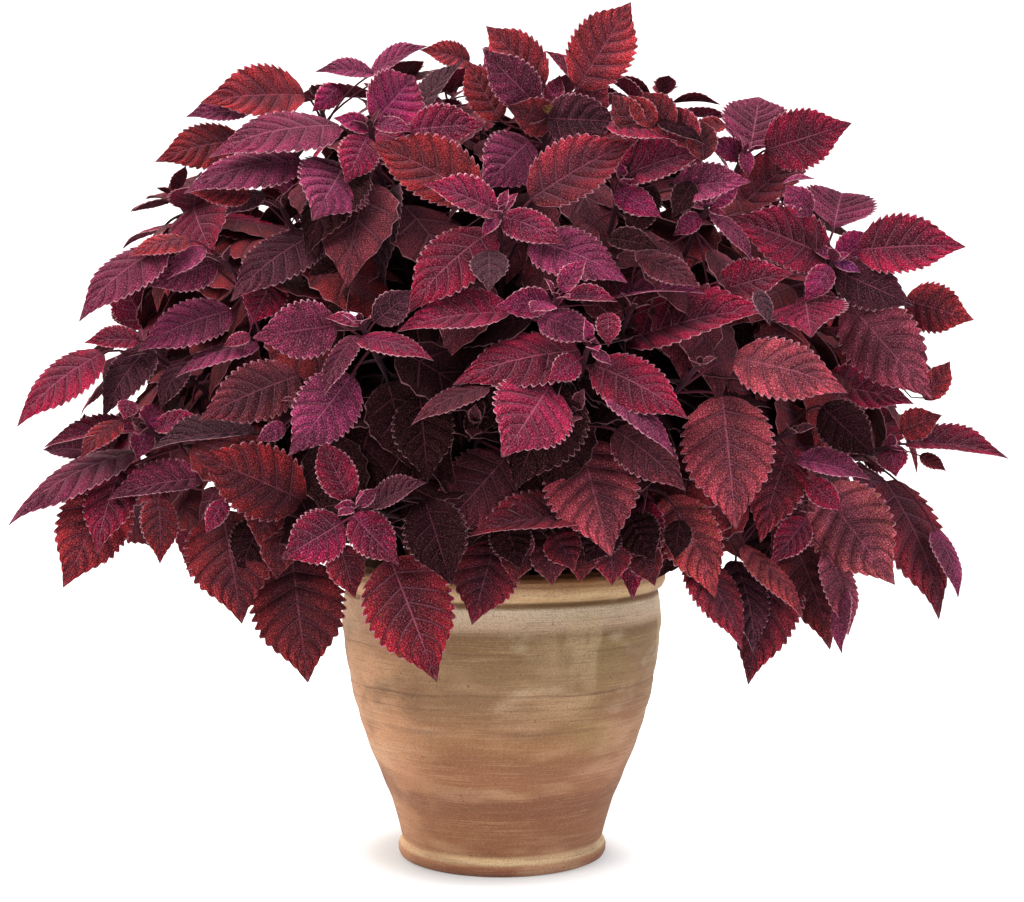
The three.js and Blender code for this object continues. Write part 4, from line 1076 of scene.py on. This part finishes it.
def foliagePiece(name, store, materials):
    points = np.concatenate(store["points"]) * metre
    values = np.concatenate(store["values"])
    # four-sided faces first
    faces = sorted(zip(store["faces"], store["slots"]), key=lambda one: -one[0].shape[1])
    corners = np.concatenate([face.ravel() for face, slot in faces])
    sizes = np.concatenate([np.full(len(face), face.shape[1]) for face, slot in faces])
    slots = np.concatenate([np.full(len(face), slot) for face, slot in faces])
    starts = np.concatenate([[0], np.cumsum(sizes)[:-1]])
    mesh = bpy.data.meshes.new(name)
    mesh.vertices.add(len(points))
    mesh.vertices.foreach_set("co", points.astype(np.float32).ravel())
    mesh.loops.add(len(corners))
    mesh.loops.foreach_set("vertex_index", corners.astype(np.int32))
    mesh.polygons.add(len(sizes))
    mesh.polygons.foreach_set("loop_start", starts.astype(np.int32))
    mesh.polygons.foreach_set("material_index", slots.astype(np.int32))
    mesh.update(calc_edges=True)
    for layer, columns in (("skin", slice(0, 3)), ("detail", slice(3, 6))):
        colours = np.concatenate([values[:, columns], np.ones((len(points), 1))], 1)
        attribute = mesh.attributes.new(layer, "FLOAT_COLOR", "POINT")
        attribute.data.foreach_set("color", colours.astype(np.float32).ravel())
    for layer, columns in (("blade", slice(6, 8)), ("millimetres", slice(8, 10))):
        uv = mesh.uv_layers.new(name=layer)
        uv.data.foreach_set("uv", values[corners][:, columns].astype(np.float32).ravel())
    return placed(name, mesh, materials)


def turnedPiece(name, points, faces, material):
    mesh = bpy.data.meshes.new(name)
    mesh.from_pydata([tuple(c * metre for c in point) for point in points], [], faces)
    return placed(name, mesh, [material])


def drawLines(stem):
    neck = np.array([*stem["foot"], stemSizes["soil"] + stemSizes["neck"]], float)
    leader, *others = stem["shoots"]
    leader["path"] = stemPath(neck, up, leader["heart"], leader["growth"])
    leader["line"] = [*bezier(leader["path"], stemSizes["steps"][0]), leader["heart"]]
    for shoot in others:
        line, fork = leader["line"], stem["fork"]
        leave = unit(line[fork + 1] - line[fork - 1])
        shoot["path"] = stemPath(line[fork], leave, shoot["heart"], shoot["growth"])
        shoot["line"] = [*bezier(shoot["path"], stemSizes["steps"][1]), shoot["heart"]]


def frontShoot(spec):
    heart = onDome(spec["heart"], spec.get("sunk", 0))
    shoot = {"heart": heart, "growth": growthAt(heart), "bud": spec.get("bud")}
    shoot["leaves"] = [sightedLeaf(shoot, *leaf) for leaf in spec["leaves"]]
    shoot["young"] = [sightedLeaf(shoot, *leaf) for leaf in spec.get("young", [])]
    return shoot


def backShoot(turn, height, pairTones, draw):
    turn = spread(turn, backRule["turnSpread"], draw)
    heart = domePoint(turn, spread(height, backRule["heightSpread"], draw))
    shoot = {"heart": heart, "growth": growthAt(heart), "bud": "young", "young": []}
    shoot["leaves"] = pairedLeaves(shoot, pairTones, draw)
    return shoot


def planStems():
    draw = seededDraw(7)
    frontFork, backFork = stemSizes["fork"]
    stems = [{**stem, "fork": frontFork, "shoots": [frontShoot(spec) for spec in stem["shoots"]]}
             for stem in frontStems]
    for row in backRows:
        for count, turn in enumerate(row["turns"]):
            shoots = []
            for level, height in enumerate(row["heights"]):
                pairTones = backTones[(count + level) % len(backTones)]
                shoots.append(backShoot(turn + backRule["levelTurn"] * level, height, pairTones, draw))
            angle = math.radians(turn)
            foot = (row["foot"] * math.sin(angle), -row["foot"] * math.cos(angle))
            node = f"{row['node']}_{count + 1}"
            stems.append({"node": node, "foot": foot, "fork": backFork, "shoots": shoots})
    for stem in stems:
        drawLines(stem)
    for stem in stems[:len(frontStems)]:
        for shoot in stem["shoots"]:
            if shoot["heart"][2] > leafRule["innerFrom"]:
                shoot["leaves"].append(innerLeaf(shoot, draw))
    return stems


# length and opening of the small leaves round a growing point, oldest first, and how they are set
rosette = {
    "pairs": [(44, 80), (26, 62), (15, 42), (8, 20)], "lengthSpread": 0.3, "apart": 1.5, "goldUnder": 20,
}
# leaves that close the bush's back under each growing point there, at these millimetres below it
skirt = {
    "at": (16, 34), "leaves": 4, "length": 80, "lengthSpread": 0.3, "opened": 84, "sag": 1.0,
    "skyward": 0.2, "within": 8,
}
# older leaves down the bare part of a shoot: where along it, by kind of shoot
fillRule = {
    "leader": (0.14, 0.24, 0.33, 0.42, 0.51, 0.6, 0.69, 0.78, 0.9), "side": (0.3, 0.5, 0.7, 0.9),
    "back": (0.35, 0.5, 0.65, 0.8, 0.95), "steps": 20, "length": 88, "lengthSpread": 0.3,
    "opened": 98, "outward": 0.6, "within": 34,
    # mm below a growing point, and how the leaves there open
    "under": (26, 50), "inward": 112, "inwardShare": 0.9,
    "flank": 150, "behind": 10, "top": 490,   # past these, inner leaves still see some light
}


def addRosette(store, shoot, back, draw):
    turn = 360 * draw()
    first = 0 if back else 1 if shoot["bud"] and not shoot["young"] else 2
    for count, (length, opened) in enumerate(rosette["pairs"][first:]):
        for half in (0, 180):
            root = shoot["heart"] + shoot["growth"] * (count * rosette["apart"] - 2)
            grown = length * spread(1, rosette["lengthSpread"], draw)
            tone = "darkRed" if back else "young" if shoot["bud"] else "dull"
            if shoot["bud"] == "gold" and length < rosette["goldUnder"]:
                tone = "gold"
            leaf = turnedLeaf(shoot["growth"], root, turn + 90 * count + half, opened, grown, tone, 0.0)
            addBlade(store, leaf, draw)


# painted shade on the inner leaves: the darkest tone deep in the bush, and paler tones on the flanks, at the
# back and on top, where more light reaches
def fillTone(root):
    if abs(root[0]) > fillRule["flank"] or root[1] > fillRule["behind"]:
        return "brown"
    return "dull" if root[2] > fillRule["top"] else "shade"


def addInside(store, leaf, within, grade, draw):
    if insideBush(leaf["tip"], within):
        addBlade(store, leaf, draw, grade)


def addFill(store, shoot, places, draw):
    steps = fillRule["steps"]
    path = bezier(shoot["path"], steps)
    for place in places:
        at = int(place * steps)
        growth = unit(path[min(at + 1, steps)] - path[at - 1])
        growth = unit(growth + shoot["growth"] * fillRule["outward"])
        turn = 360 * draw()
        for half in (0, 180):
            length = fillRule["length"] * spread(1, fillRule["lengthSpread"], draw)
            leaf = turnedLeaf(growth, path[at], turn + half, fillRule["opened"], length, fillTone(path[at]))
            addInside(store, leaf, fillRule["within"], "fill", draw)
    turn = 360 * draw()
    for count, below in enumerate(fillRule["under"]):
        root = shoot["heart"] - shoot["growth"] * min(below, stemSizes["straight"])
        for third in range(3):
            length = fillRule["length"] * spread(fillRule["inwardShare"], fillRule["lengthSpread"], draw)
            around = turn + 60 * count + 120 * third
            leaf = turnedLeaf(shoot["growth"], root, around, fillRule["inward"], length, fillTone(root))
            addInside(store, leaf, fillRule["within"], "fill", draw)


def addSkirt(store, shoot, draw):
    turn = 360 * draw()
    for count, below in enumerate(skirt["at"]):
        root = shoot["heart"] - shoot["growth"] * below
        for step in range(skirt["leaves"]):
            length = skirt["length"] * spread(1, skirt["lengthSpread"], draw)
            around = turn + (step + 0.5 * count) * 360 / skirt["leaves"]
            tone = shoot["leaves"][step]["tone"]
            leaf = turnedLeaf(shoot["growth"], root, around, skirt["opened"], length, tone, skirt["sag"])
            leaf["facing"] = shoot["growth"] + up * skirt["skyward"]
            addInside(store, leaf, skirt["within"], "back", draw)


def insideBush(point, within):
    clearOfPot = point[2] > pot["height"] + pot["clearance"]
    return clearOfPot and np.linalg.norm((point - dome["centre"]) / (dome["radii"] - within)) < 1


def growStem(stem, materials):
    store = newPile()
    draw = seededDraw(sum(ord(letter) for letter in stem["node"]))
    corners = cornersOf(stem["node"])
    leader, *others = stem["shoots"]
    bottom = np.array([*stem["foot"], stemSizes["soil"] - stemSizes["hole"]], float)
    path = np.concatenate([[bottom], bezier(leader["path"], stemSizes["rings"]), [leader["heart"]]])
    addStem(store, path, stemSizes["foot"] * stemSizes["footShare"], stemSizes["tip"])
    for shoot in others:
        path = np.concatenate([bezier(shoot["path"], stemSizes["rings"]), [shoot["heart"]]])
        addStem(store, path, stemSizes["branch"], stemSizes["tip"])
    lost = 0
    back = "back" in stem["node"]
    for shoot in stem["shoots"]:
        for leaf in shoot["leaves"]:
            found = settled(leaf, corners)
            if found is None:
                lost += 1
            else:
                addBlade(store, found, draw, "back" if back else "front")
        for leaf in shoot["young"]:
            addBlade(store, leaf, draw)
        addRosette(store, shoot, back, draw)
        if back:
            addSkirt(store, shoot, draw)
        kind = "back" if back else "leader" if shoot is leader else "side"
        addFill(store, shoot, fillRule[kind], draw)
    piece = foliagePiece(stem["node"].replace("stem_", "foliage_"), store, materials)
    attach(piece, "root")
    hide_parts(stem["node"])
    return piece, lost


pot = {
    "height": 257, "radius": 143, "roll": 11, "mouth": 126, "floor": 15, "clearance": 12,
    "sides": 144,
    # depth, height and half width of the finger marks left from throwing
    "marks": [
        (0.9, 192, 5), (1.0, 158, 6), (0.5, 147, 3), (0.9, 127, 6), (0.5, 108, 7), (0.7, 80, 9),
        (0.6, 54, 8),
    ],
    "marked": (27, 200), "outOfRound": 0.35,   # between these heights
    # how often a mark rises and falls round the pot, how that shifts with height, and how far it strays
    "wobble": [(2, 0.03, 1.6), (5, 0.05, 0.7)],
    # how far the rolled rim's centre lies under the top, and where its curve starts and ends, in radians
    "rollDrop": 13.5, "rollTurn": (-0.98, 1.5), "rollSteps": 22,
    "crease": 0.6, "creaseAt": 0.42, "creaseWide": 0.1,   # it parts the lip from the bead under it
}


def curveThrough(points, count):
    # a smooth line through the points, as a potter's template
    p = np.array(points, float)
    p = np.concatenate([[2 * p[0] - p[1]], p, [2 * p[-1] - p[-2]]])
    line = []
    for k in range(1, len(p) - 2):
        for t in np.linspace(0, 1, count, endpoint=False):
            a, b, c, d = p[k - 1:k + 3]
            line.append(0.5 * (2 * b + (c - a) * t + (2 * a - 5 * b + 4 * c - d) * t * t
                               + (3 * b - a - 3 * c + d) * t ** 3))
    return [*line, p[-2]]


def potProfile():
    foot = [(0, 0), (60, 0), (87, 0), (89.5, 1.2), (90.8, 4), (91, 7.8), (90.2, 10.6), (88.2, 12.8)]
    belly = curveThrough([(87, 14), (96.5, 46.7), (117.9, 100.4), (131, 145), (138, 189)], 11)
    collar = curveThrough([(138.6, 195), (139.3, 204), (138.9, 213), (138.2, 222), (136.9, 230)], 3)
    groove = [(134.2, 231.6), (134.0, 233.4)]
    across, level = pot["radius"] - pot["roll"], pot["height"] - pot["rollDrop"]
    roll = []
    for angle in np.linspace(*pot["rollTurn"], pot["rollSteps"]):
        away = (angle - pot["creaseAt"]) / pot["creaseWide"]
        radius = pot["roll"] - pot["crease"] * math.exp(-away ** 2)
        roll.append((across + radius * math.cos(angle), level + radius * math.sin(angle)))
    mouth, floor = pot["mouth"], pot["floor"]
    lip = [(131, 256.4), (128.6, 256.2), (126.8, 255), (mouth, 252.5)]
    inside = [(mouth, 240), (mouth, 215), (mouth, 190), (119, 146), (96, 78), (74, floor), (0, floor)]
    return [*foot, *belly, *collar, *groove, *roll, *lip], inside


def wobble(angle, height):
    return sum(math.sin(angle * times + height * climb) * size for times, climb, size in pot["wobble"])


def thrownRadius(radius, angle, height):
    # the outer wall with its finger marks
    for depth, level, width in pot["marks"]:
        away = (height + wobble(angle, level) - level) / width
        radius -= depth * math.exp(-away * away)
    return radius


def makePot():
    outside, inside = potProfile()
    lowest, highest = pot["marked"]
    sides = pot["sides"]
    points, faces, rings = [], [], []
    for index, (radius, height) in enumerate([*outside, *inside]):
        around = [0] if radius == 0 else range(sides)
        rings.append([len(points) + k for k in around])
        for k in around:
            angle = 2 * math.pi * k / sides
            r = radius
            if index < len(outside) and lowest < height < highest:
                r = thrownRadius(radius, angle, height)
            if radius > 0 and height > 0:
                r += pot["outOfRound"] * math.sin(angle * 3 + height * 0.02) * smooth(5, 40, height)
            points.append((r * math.cos(angle), r * math.sin(angle), height))
    for low, high in zip(rings, rings[1:]):
        for k in range(sides):
            n = (k + 1) % sides
            if len(low) == 1:
                faces.append((low[0], high[n], high[k]))
            elif len(high) == 1:
                faces.append((low[k], low[n], high[0]))
            else:
                faces.append((low[k], low[n], high[n], high[k]))
    piece = turnedPiece("terracottaPot", points, faces, thrownTerracotta())
    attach(piece, "root")
    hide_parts("pot")


clay = {
    # colour of the clay at each height in millimetres, from the base up; round the collar and the rim some
    # bands hold painted light
    "bands": [
        (0, "#6e3f2a"), (6, "#7c482f"), (9, "#946240"), (11.5, "#cdb78e"), (14, "#c6a67c"),
        (18, "#815131"), (31, "#845333"), (50, "#7e4d2e"), (58, "#76472a"), (70, "#79492e"),
        (76, "#8b5a3a"), (88, "#8c593b"), (100, "#835333"), (118, "#8d5f3b"), (140, "#866040"),
        # 203 and 208: painted shade under the collar; 214: the collar's pale clay with a painted highlight
        #              on it
        (160, "#836242"), (185, "#7e603e"), (203, "#775a36"), (208, "#7d5f40"), (214, "#bc9e82"),
        # 228: the collar's pale clay with a painted highlight on it; 231 and 233: painted shade in the
        #      groove under the rim
        (228, "#dac4aa"), (231, "#9a7a52"), (233, "#6e5032"), (236, "#ac8c61"), (240, "#c0a077"),
        (247, "#c69463"), (251, "#c07a45"), (257, "#ac6a3a"),
    ],
    # washes over it: patch size in mm, how flat it lies, noise from and to, strength and colour,
    # and where by axis in metres
    "washes": [
        # olive weathering
        {"size": 80, "flat": 1.6, "noise": (0.36, 0.6), "strength": 0.5, "colour": "#8c7848",
         "where": [("X", -0.04, 0.1), ("Z", 0.09, 0.125), ("Z", 0.212, 0.196)]},
        # salmon on the left side: partly the clay's redder tone there, partly painted light on the side the
        # key lamp falls on
        {"size": 55, "flat": 1.5, "noise": (0.3, 0.55), "strength": 0.7, "colour": "#d49c74",
         "where": [("X", -0.03, -0.12)]},
        # pale and dark bands from throwing
        {"size": 120, "flat": 3.2, "noise": (0.52, 0.7), "strength": 0.42, "colour": "#c8a07c"},
        {"size": 120, "flat": 3.2, "noise": (0.5, 0.34), "strength": 0.4, "colour": "#784a30"},
        # lime that ran down from the rim, and lime blotches
        {"size": 34, "flat": 0.24, "noise": (0.5, 0.64), "strength": 0.42, "colour": "#c4ac84",
         "where": [("X", 0.0, 0.07), ("Z", 0.13, 0.2), ("Z", 0.231, 0.224)]},
        {"size": 40, "flat": 2.6, "noise": (0.55, 0.74), "strength": 0.3, "colour": "#cdbda0",
         "where": [("Z", 0.09, 0.2)]},
        # pale and dark streaks drawn round the pot by the hand
        {"size": 50, "flat": 60, "noise": (0.54, 0.68),
         "strength": 0.2, "colour": "#d0ac88", "relief": 0.3},
        {"size": 44, "flat": 55, "noise": (0.47, 0.33),
         "strength": 0.38, "colour": "#6c442c", "relief": 0.3},
        # dark grit, pale grit and small pits
        {"size": 1.4, "flat": 1, "noise": (0.46, 0.66),
         "strength": 0.36, "colour": "#6c4228", "relief": -0.8},
        {"size": 1.6, "flat": 1, "noise": (0.5, 0.7),
         "strength": 0.1, "colour": "#d8b894", "relief": 0.5},
        {"size": 3.4, "flat": 1.2, "noise": (0.69, 0.74),
         "strength": 0.7, "colour": "#452f20", "relief": -0.6},
    ],
    # scored lines left by the wet hand: height and half width in mm, and strength
    "lines": [(197, 1.6, 0.34), (162, 1.5, 0.42), (150, 0.9, 0.34), (130, 3.0, 0.3)],
    "line": "#5c3e2a", "lineRelief": -0.8, "lineWander": 0.008,
    # patch sizes in mm: of the bands' waver, the lines' wander and the lines' gaps
    "waver": 90, "wander": 60, "gaps": 45,
    # how far the bands waver over the body, and where it fades out at the rim and the foot, all in metres
    "waverReach": 0.04, "waverEnds": ((0.212, 0.196), (0.02, 0.05)),
}


# Thrown terracotta, fired and left outdoors: gritty orange clay with finger rings from the wheel.
# Lime bloom and grey-olive weathering lie over it.
def thrownTerracotta():
    material, tree = newMaterial("thrownTerracotta")
    coords = add(tree, "TexCoord").node.outputs["Object"]
    place = add(tree, "SeparateXYZ", {"Vector": coords}).node.outputs
    level = place["Z"]
    waver, wander, broken = (
        add(tree, "TexNoise", {"Vector": coords, "Scale": 1000 / clay[mark], "Detail": fine})
        for mark, fine in (("waver", 3.0), ("wander", 2.0), ("gaps", 3.0)))

    # the bands waver over the body, and run true round the foot and the rim
    reach = clay["waverReach"]
    for start, end in clay["waverEnds"]:
        reach = add(tree, "MapRange",
                    {"Value": level, "From Min": start, "From Max": end, "To Max": reach}, **soft)
    drift = add(tree, "Math", {0: waver, 1: 0.5}, operation="SUBTRACT")
    shifted = add(tree, "Math", {0: drift, 1: reach, 2: level}, operation="MULTIPLY_ADD")
    share = add(tree, "MapRange", {"Value": shifted, "From Max": pot["height"] * metre})
    tone = add(tree, "ValToRGB", {"Fac": share})
    elements = tone.node.color_ramp.elements
    while len(elements) < len(clay["bands"]):
        elements.new(0.5)
    for element, (height, hexColour) in zip(elements, clay["bands"]):
        element.position = height / pot["height"]
        element.color = colour4(hexColour)

    relief = 0.0
    for count, wash in enumerate(clay["washes"]):
        squeezed = add(tree, "Mapping", {
            "Vector": coords, "Location": (0.37 * count, 0.61 * count, 0), "Scale": (1, 1, wash["flat"])})
        noise = add(tree, "TexNoise", {"Vector": squeezed, "Scale": 1000 / wash["size"], "Detail": 3.0})
        mask = wash["strength"]
        reaches = [(place[axis], start, end) for axis, start, end in wash.get("where", [])]
        for source, start, end in [*reaches, (noise, *wash["noise"])]:
            mask = add(tree, "MapRange",
                       {"Value": source, "From Min": start, "From Max": end, "To Max": mask}, **soft)
        tone = add(tree, "Mix", {0: mask, 6: tone, 7: colour4(wash["colour"])}, data_type="RGBA")
        if "relief" in wash:
            relief = add(tree, "Math", {0: mask, 1: wash["relief"], 2: relief}, operation="MULTIPLY_ADD")

    bent = add(tree, "Math", {0: wander, 1: clay["lineWander"], 2: level}, operation="MULTIPLY_ADD")
    for height, width, strength in clay["lines"]:
        gap = add(tree, "Math", {0: bent, 1: height * metre}, operation="SUBTRACT")
        mask = strength
        away = add(tree, "Math", {0: gap}, operation="ABSOLUTE")
        for source, start, end in ((broken, 0.3, 0.55), (away, width * metre, 0.2 * width * metre)):
            mask = add(tree, "MapRange",
                       {"Value": source, "From Min": start, "From Max": end, "To Max": mask}, **soft)
        tone = add(tree, "Mix", {0: mask, 6: tone, 7: colour4(clay["line"])}, data_type="RGBA")
        relief = add(tree, "Math", {0: mask, 1: clay["lineRelief"], 2: relief}, operation="MULTIPLY_ADD")

    bump = add(tree, "Bump", {"Strength": 0.6, "Distance": 0.0009, "Height": relief})
    shader = add(tree, "BsdfPrincipled", {"Base Color": tone, "Normal": bump, "Roughness": 0.8, "IOR": 1.5})
    add(tree, "OutputMaterial", {"Surface": shader})
    return material


soil = {
    "radius": 125.7, "level": 226, "crown": 6, "crumb": 2.2,
    "rings": 46, "sides": 120, "levelFrom": 0.97,
    # radius and height down the pot's inside
    "wall": [(125.7, 190), (118.7, 146), (95.7, 78), (73.7, 15.3)],
    "crumbWide": 6, "perliteApart": 7,   # mm
    "peat": "#1d130e", "fibre": "#4a3527", "perlite": "#cfc8ba",
}


# Peat-based potting mix, damp and crumbly: dark matt brown with paler fibres and a few grains of perlite.
def pottingMix():
    material, tree = newMaterial("pottingMix")
    coords = add(tree, "TexCoord").node.outputs["Object"]
    crumbs = add(tree, "TexNoise",
                 {"Vector": coords, "Scale": 1000 / soil["crumbWide"], "Detail": 5.0, "Roughness": 0.7})
    grains = add(tree, "TexVoronoi", {"Vector": coords, "Scale": 1000 / soil["perliteApart"]})
    pale = add(tree, "MapRange", {"Value": crumbs, "From Min": 0.4, "From Max": 0.65}, **soft)
    white = add(tree, "MapRange", {"Value": grains, "From Min": 0.16, "From Max": 0.1}, **soft)
    tone = colour4(soil["peat"])
    for mask, mark in ((pale, "fibre"), (white, "perlite")):
        tone = add(tree, "Mix", {0: mask, 6: tone, 7: colour4(soil[mark])}, data_type="RGBA")
    bump = add(tree, "Bump", {"Strength": 1.0, "Distance": 0.002, "Height": crumbs})
    shader = add(tree, "BsdfPrincipled", {"Base Color": tone, "Normal": bump, "Roughness": 0.95, "IOR": 1.4})
    add(tree, "OutputMaterial", {"Surface": shader})
    return material


def makeSoil():
    draw = seededDraw(23)
    sides = soil["sides"]
    angles = [2 * math.pi * k / sides for k in range(sides)]
    points = [(0, 0, soil["level"] + soil["crown"])]
    for ring in range(1, soil["rings"] + 1):
        share = ring / soil["rings"]
        r = soil["radius"] * share
        for angle in angles:
            crumb = soil["crumb"] * (draw() - 0.5) * (1 - smooth(soil["levelFrom"], 1.0, share))
            level = soil["level"] + soil["crown"] * (1 - share) + crumb
            points.append((r * math.cos(angle), r * math.sin(angle), level))
    for radius, height in soil["wall"]:
        points += [(radius * math.cos(angle), radius * math.sin(angle), height) for angle in angles]
    points.append((0, 0, soil["wall"][-1][1]))
    faces = []
    rings = soil["rings"] + len(soil["wall"])
    for k in range(sides):
        n = (k + 1) % sides
        faces.append((0, 1 + k, 1 + n))
        for ring in range(rings - 1):
            a = 1 + ring * sides
            faces.append((a + k, a + sides + k, a + sides + n, a + n))
        a = 1 + (rings - 1) * sides
        faces.append((a + k, len(points) - 1, a + n))
    piece = turnedPiece("pottingSoil", points, faces, pottingMix())
    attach(piece, "root")
    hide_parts("soil")


# of the paper sweep: where it starts and bends up, its bend, top and half width
sweep = {
    "front": -3.2, "bend": 1.2, "radius": 1.6, "steps": 24, "top": 5.0, "half": 7.0,
    "glow": 0.72, "white": "#bcbcbc", "fibre": "#e8e8e8", "grainWide": 2.5,   # mm
    # a painted contact shadow round the pot's foot, where the glow dims
    "shade": {"at": (-0.015, 0.0, 0.0), "from": 0.08, "to": 0.14, "glow": 0.2},
}


# Matt white paper sweep, lit through like a light table: even white with the faintest grain, and a painted
# contact shadow where its glow dims round the pot's foot.
def litWhiteSweep():
    material, tree = newMaterial("litWhiteSweep")
    coords = add(tree, "TexCoord").node.outputs["Object"]
    grain = add(tree, "TexNoise", {"Vector": coords, "Scale": 1000 / sweep["grainWide"], "Detail": 2.0})
    faint = add(tree, "Math", {0: grain, 1: 0.04}, operation="MULTIPLY")
    tone = add(tree, "Mix",
               {0: faint, 6: colour4(sweep["white"]), 7: colour4(sweep["fibre"])}, data_type="RGBA")
    shade = sweep["shade"]
    # painted contact shadow: the glow falls off towards the pot's foot
    away = add(tree, "VectorMath", {0: coords, 1: shade["at"]}, operation="DISTANCE")
    glow = add(tree, "MapRange", {"Value": away, "From Min": shade["from"], "From Max": shade["to"],
                                  "To Min": shade["glow"], "To Max": sweep["glow"]}, **soft)
    shader = add(tree, "BsdfPrincipled", {
        "Base Color": tone, "Roughness": 0.9, "Specular IOR Level": 0.0,
        "Emission Color": (1, 1, 1, 1), "Emission Strength": glow,
    })
    add(tree, "OutputMaterial", {"Surface": shader})
    return material


def makeFloor():
    bend, radius = sweep["bend"], sweep["radius"]
    line = [(sweep["front"], 0.0), (bend, 0.0)]
    for turn in np.linspace(0, math.pi / 2, sweep["steps"] + 1)[1:]:
        line.append((bend + radius * math.sin(turn), radius * (1 - math.cos(turn))))
    line.append((bend + radius, sweep["top"]))
    points = [(side * sweep["half"], forward, rise) for forward, rise in line for side in (-1, 1)]
    faces = [(2 * k, 2 * k + 1, 2 * k + 3, 2 * k + 2) for k in range(len(line) - 1)]
    mesh = bpy.data.meshes.new("floor")
    mesh.from_pydata(points, [], faces)
    placed("floor", mesh, [litWhiteSweep()])


makeCamera()
makeLights()
makeFloor()
print("stage set")
makePot()
makeSoil()
print("pot and soil made")
# the third is a shaded copy of the blade, without gloss or sheen, for the leaves in painted shade
skins = [coleusBlade("coleusBlade", 0.1, 0.13), coleusStem(), coleusBlade("shadedColeusBlade", 0.02, 0.0)]
faceCount = 0
for plannedStem in planStems():
    foliage, lostLeaves = growStem(plannedStem, skins)
    triangles = sum(len(face.vertices) - 2 for face in foliage.data.polygons)
    faceCount += triangles
    print(foliage.name, triangles, "triangles", lostLeaves, "leaves not found")
print("plant grown", faceCount, "triangles")
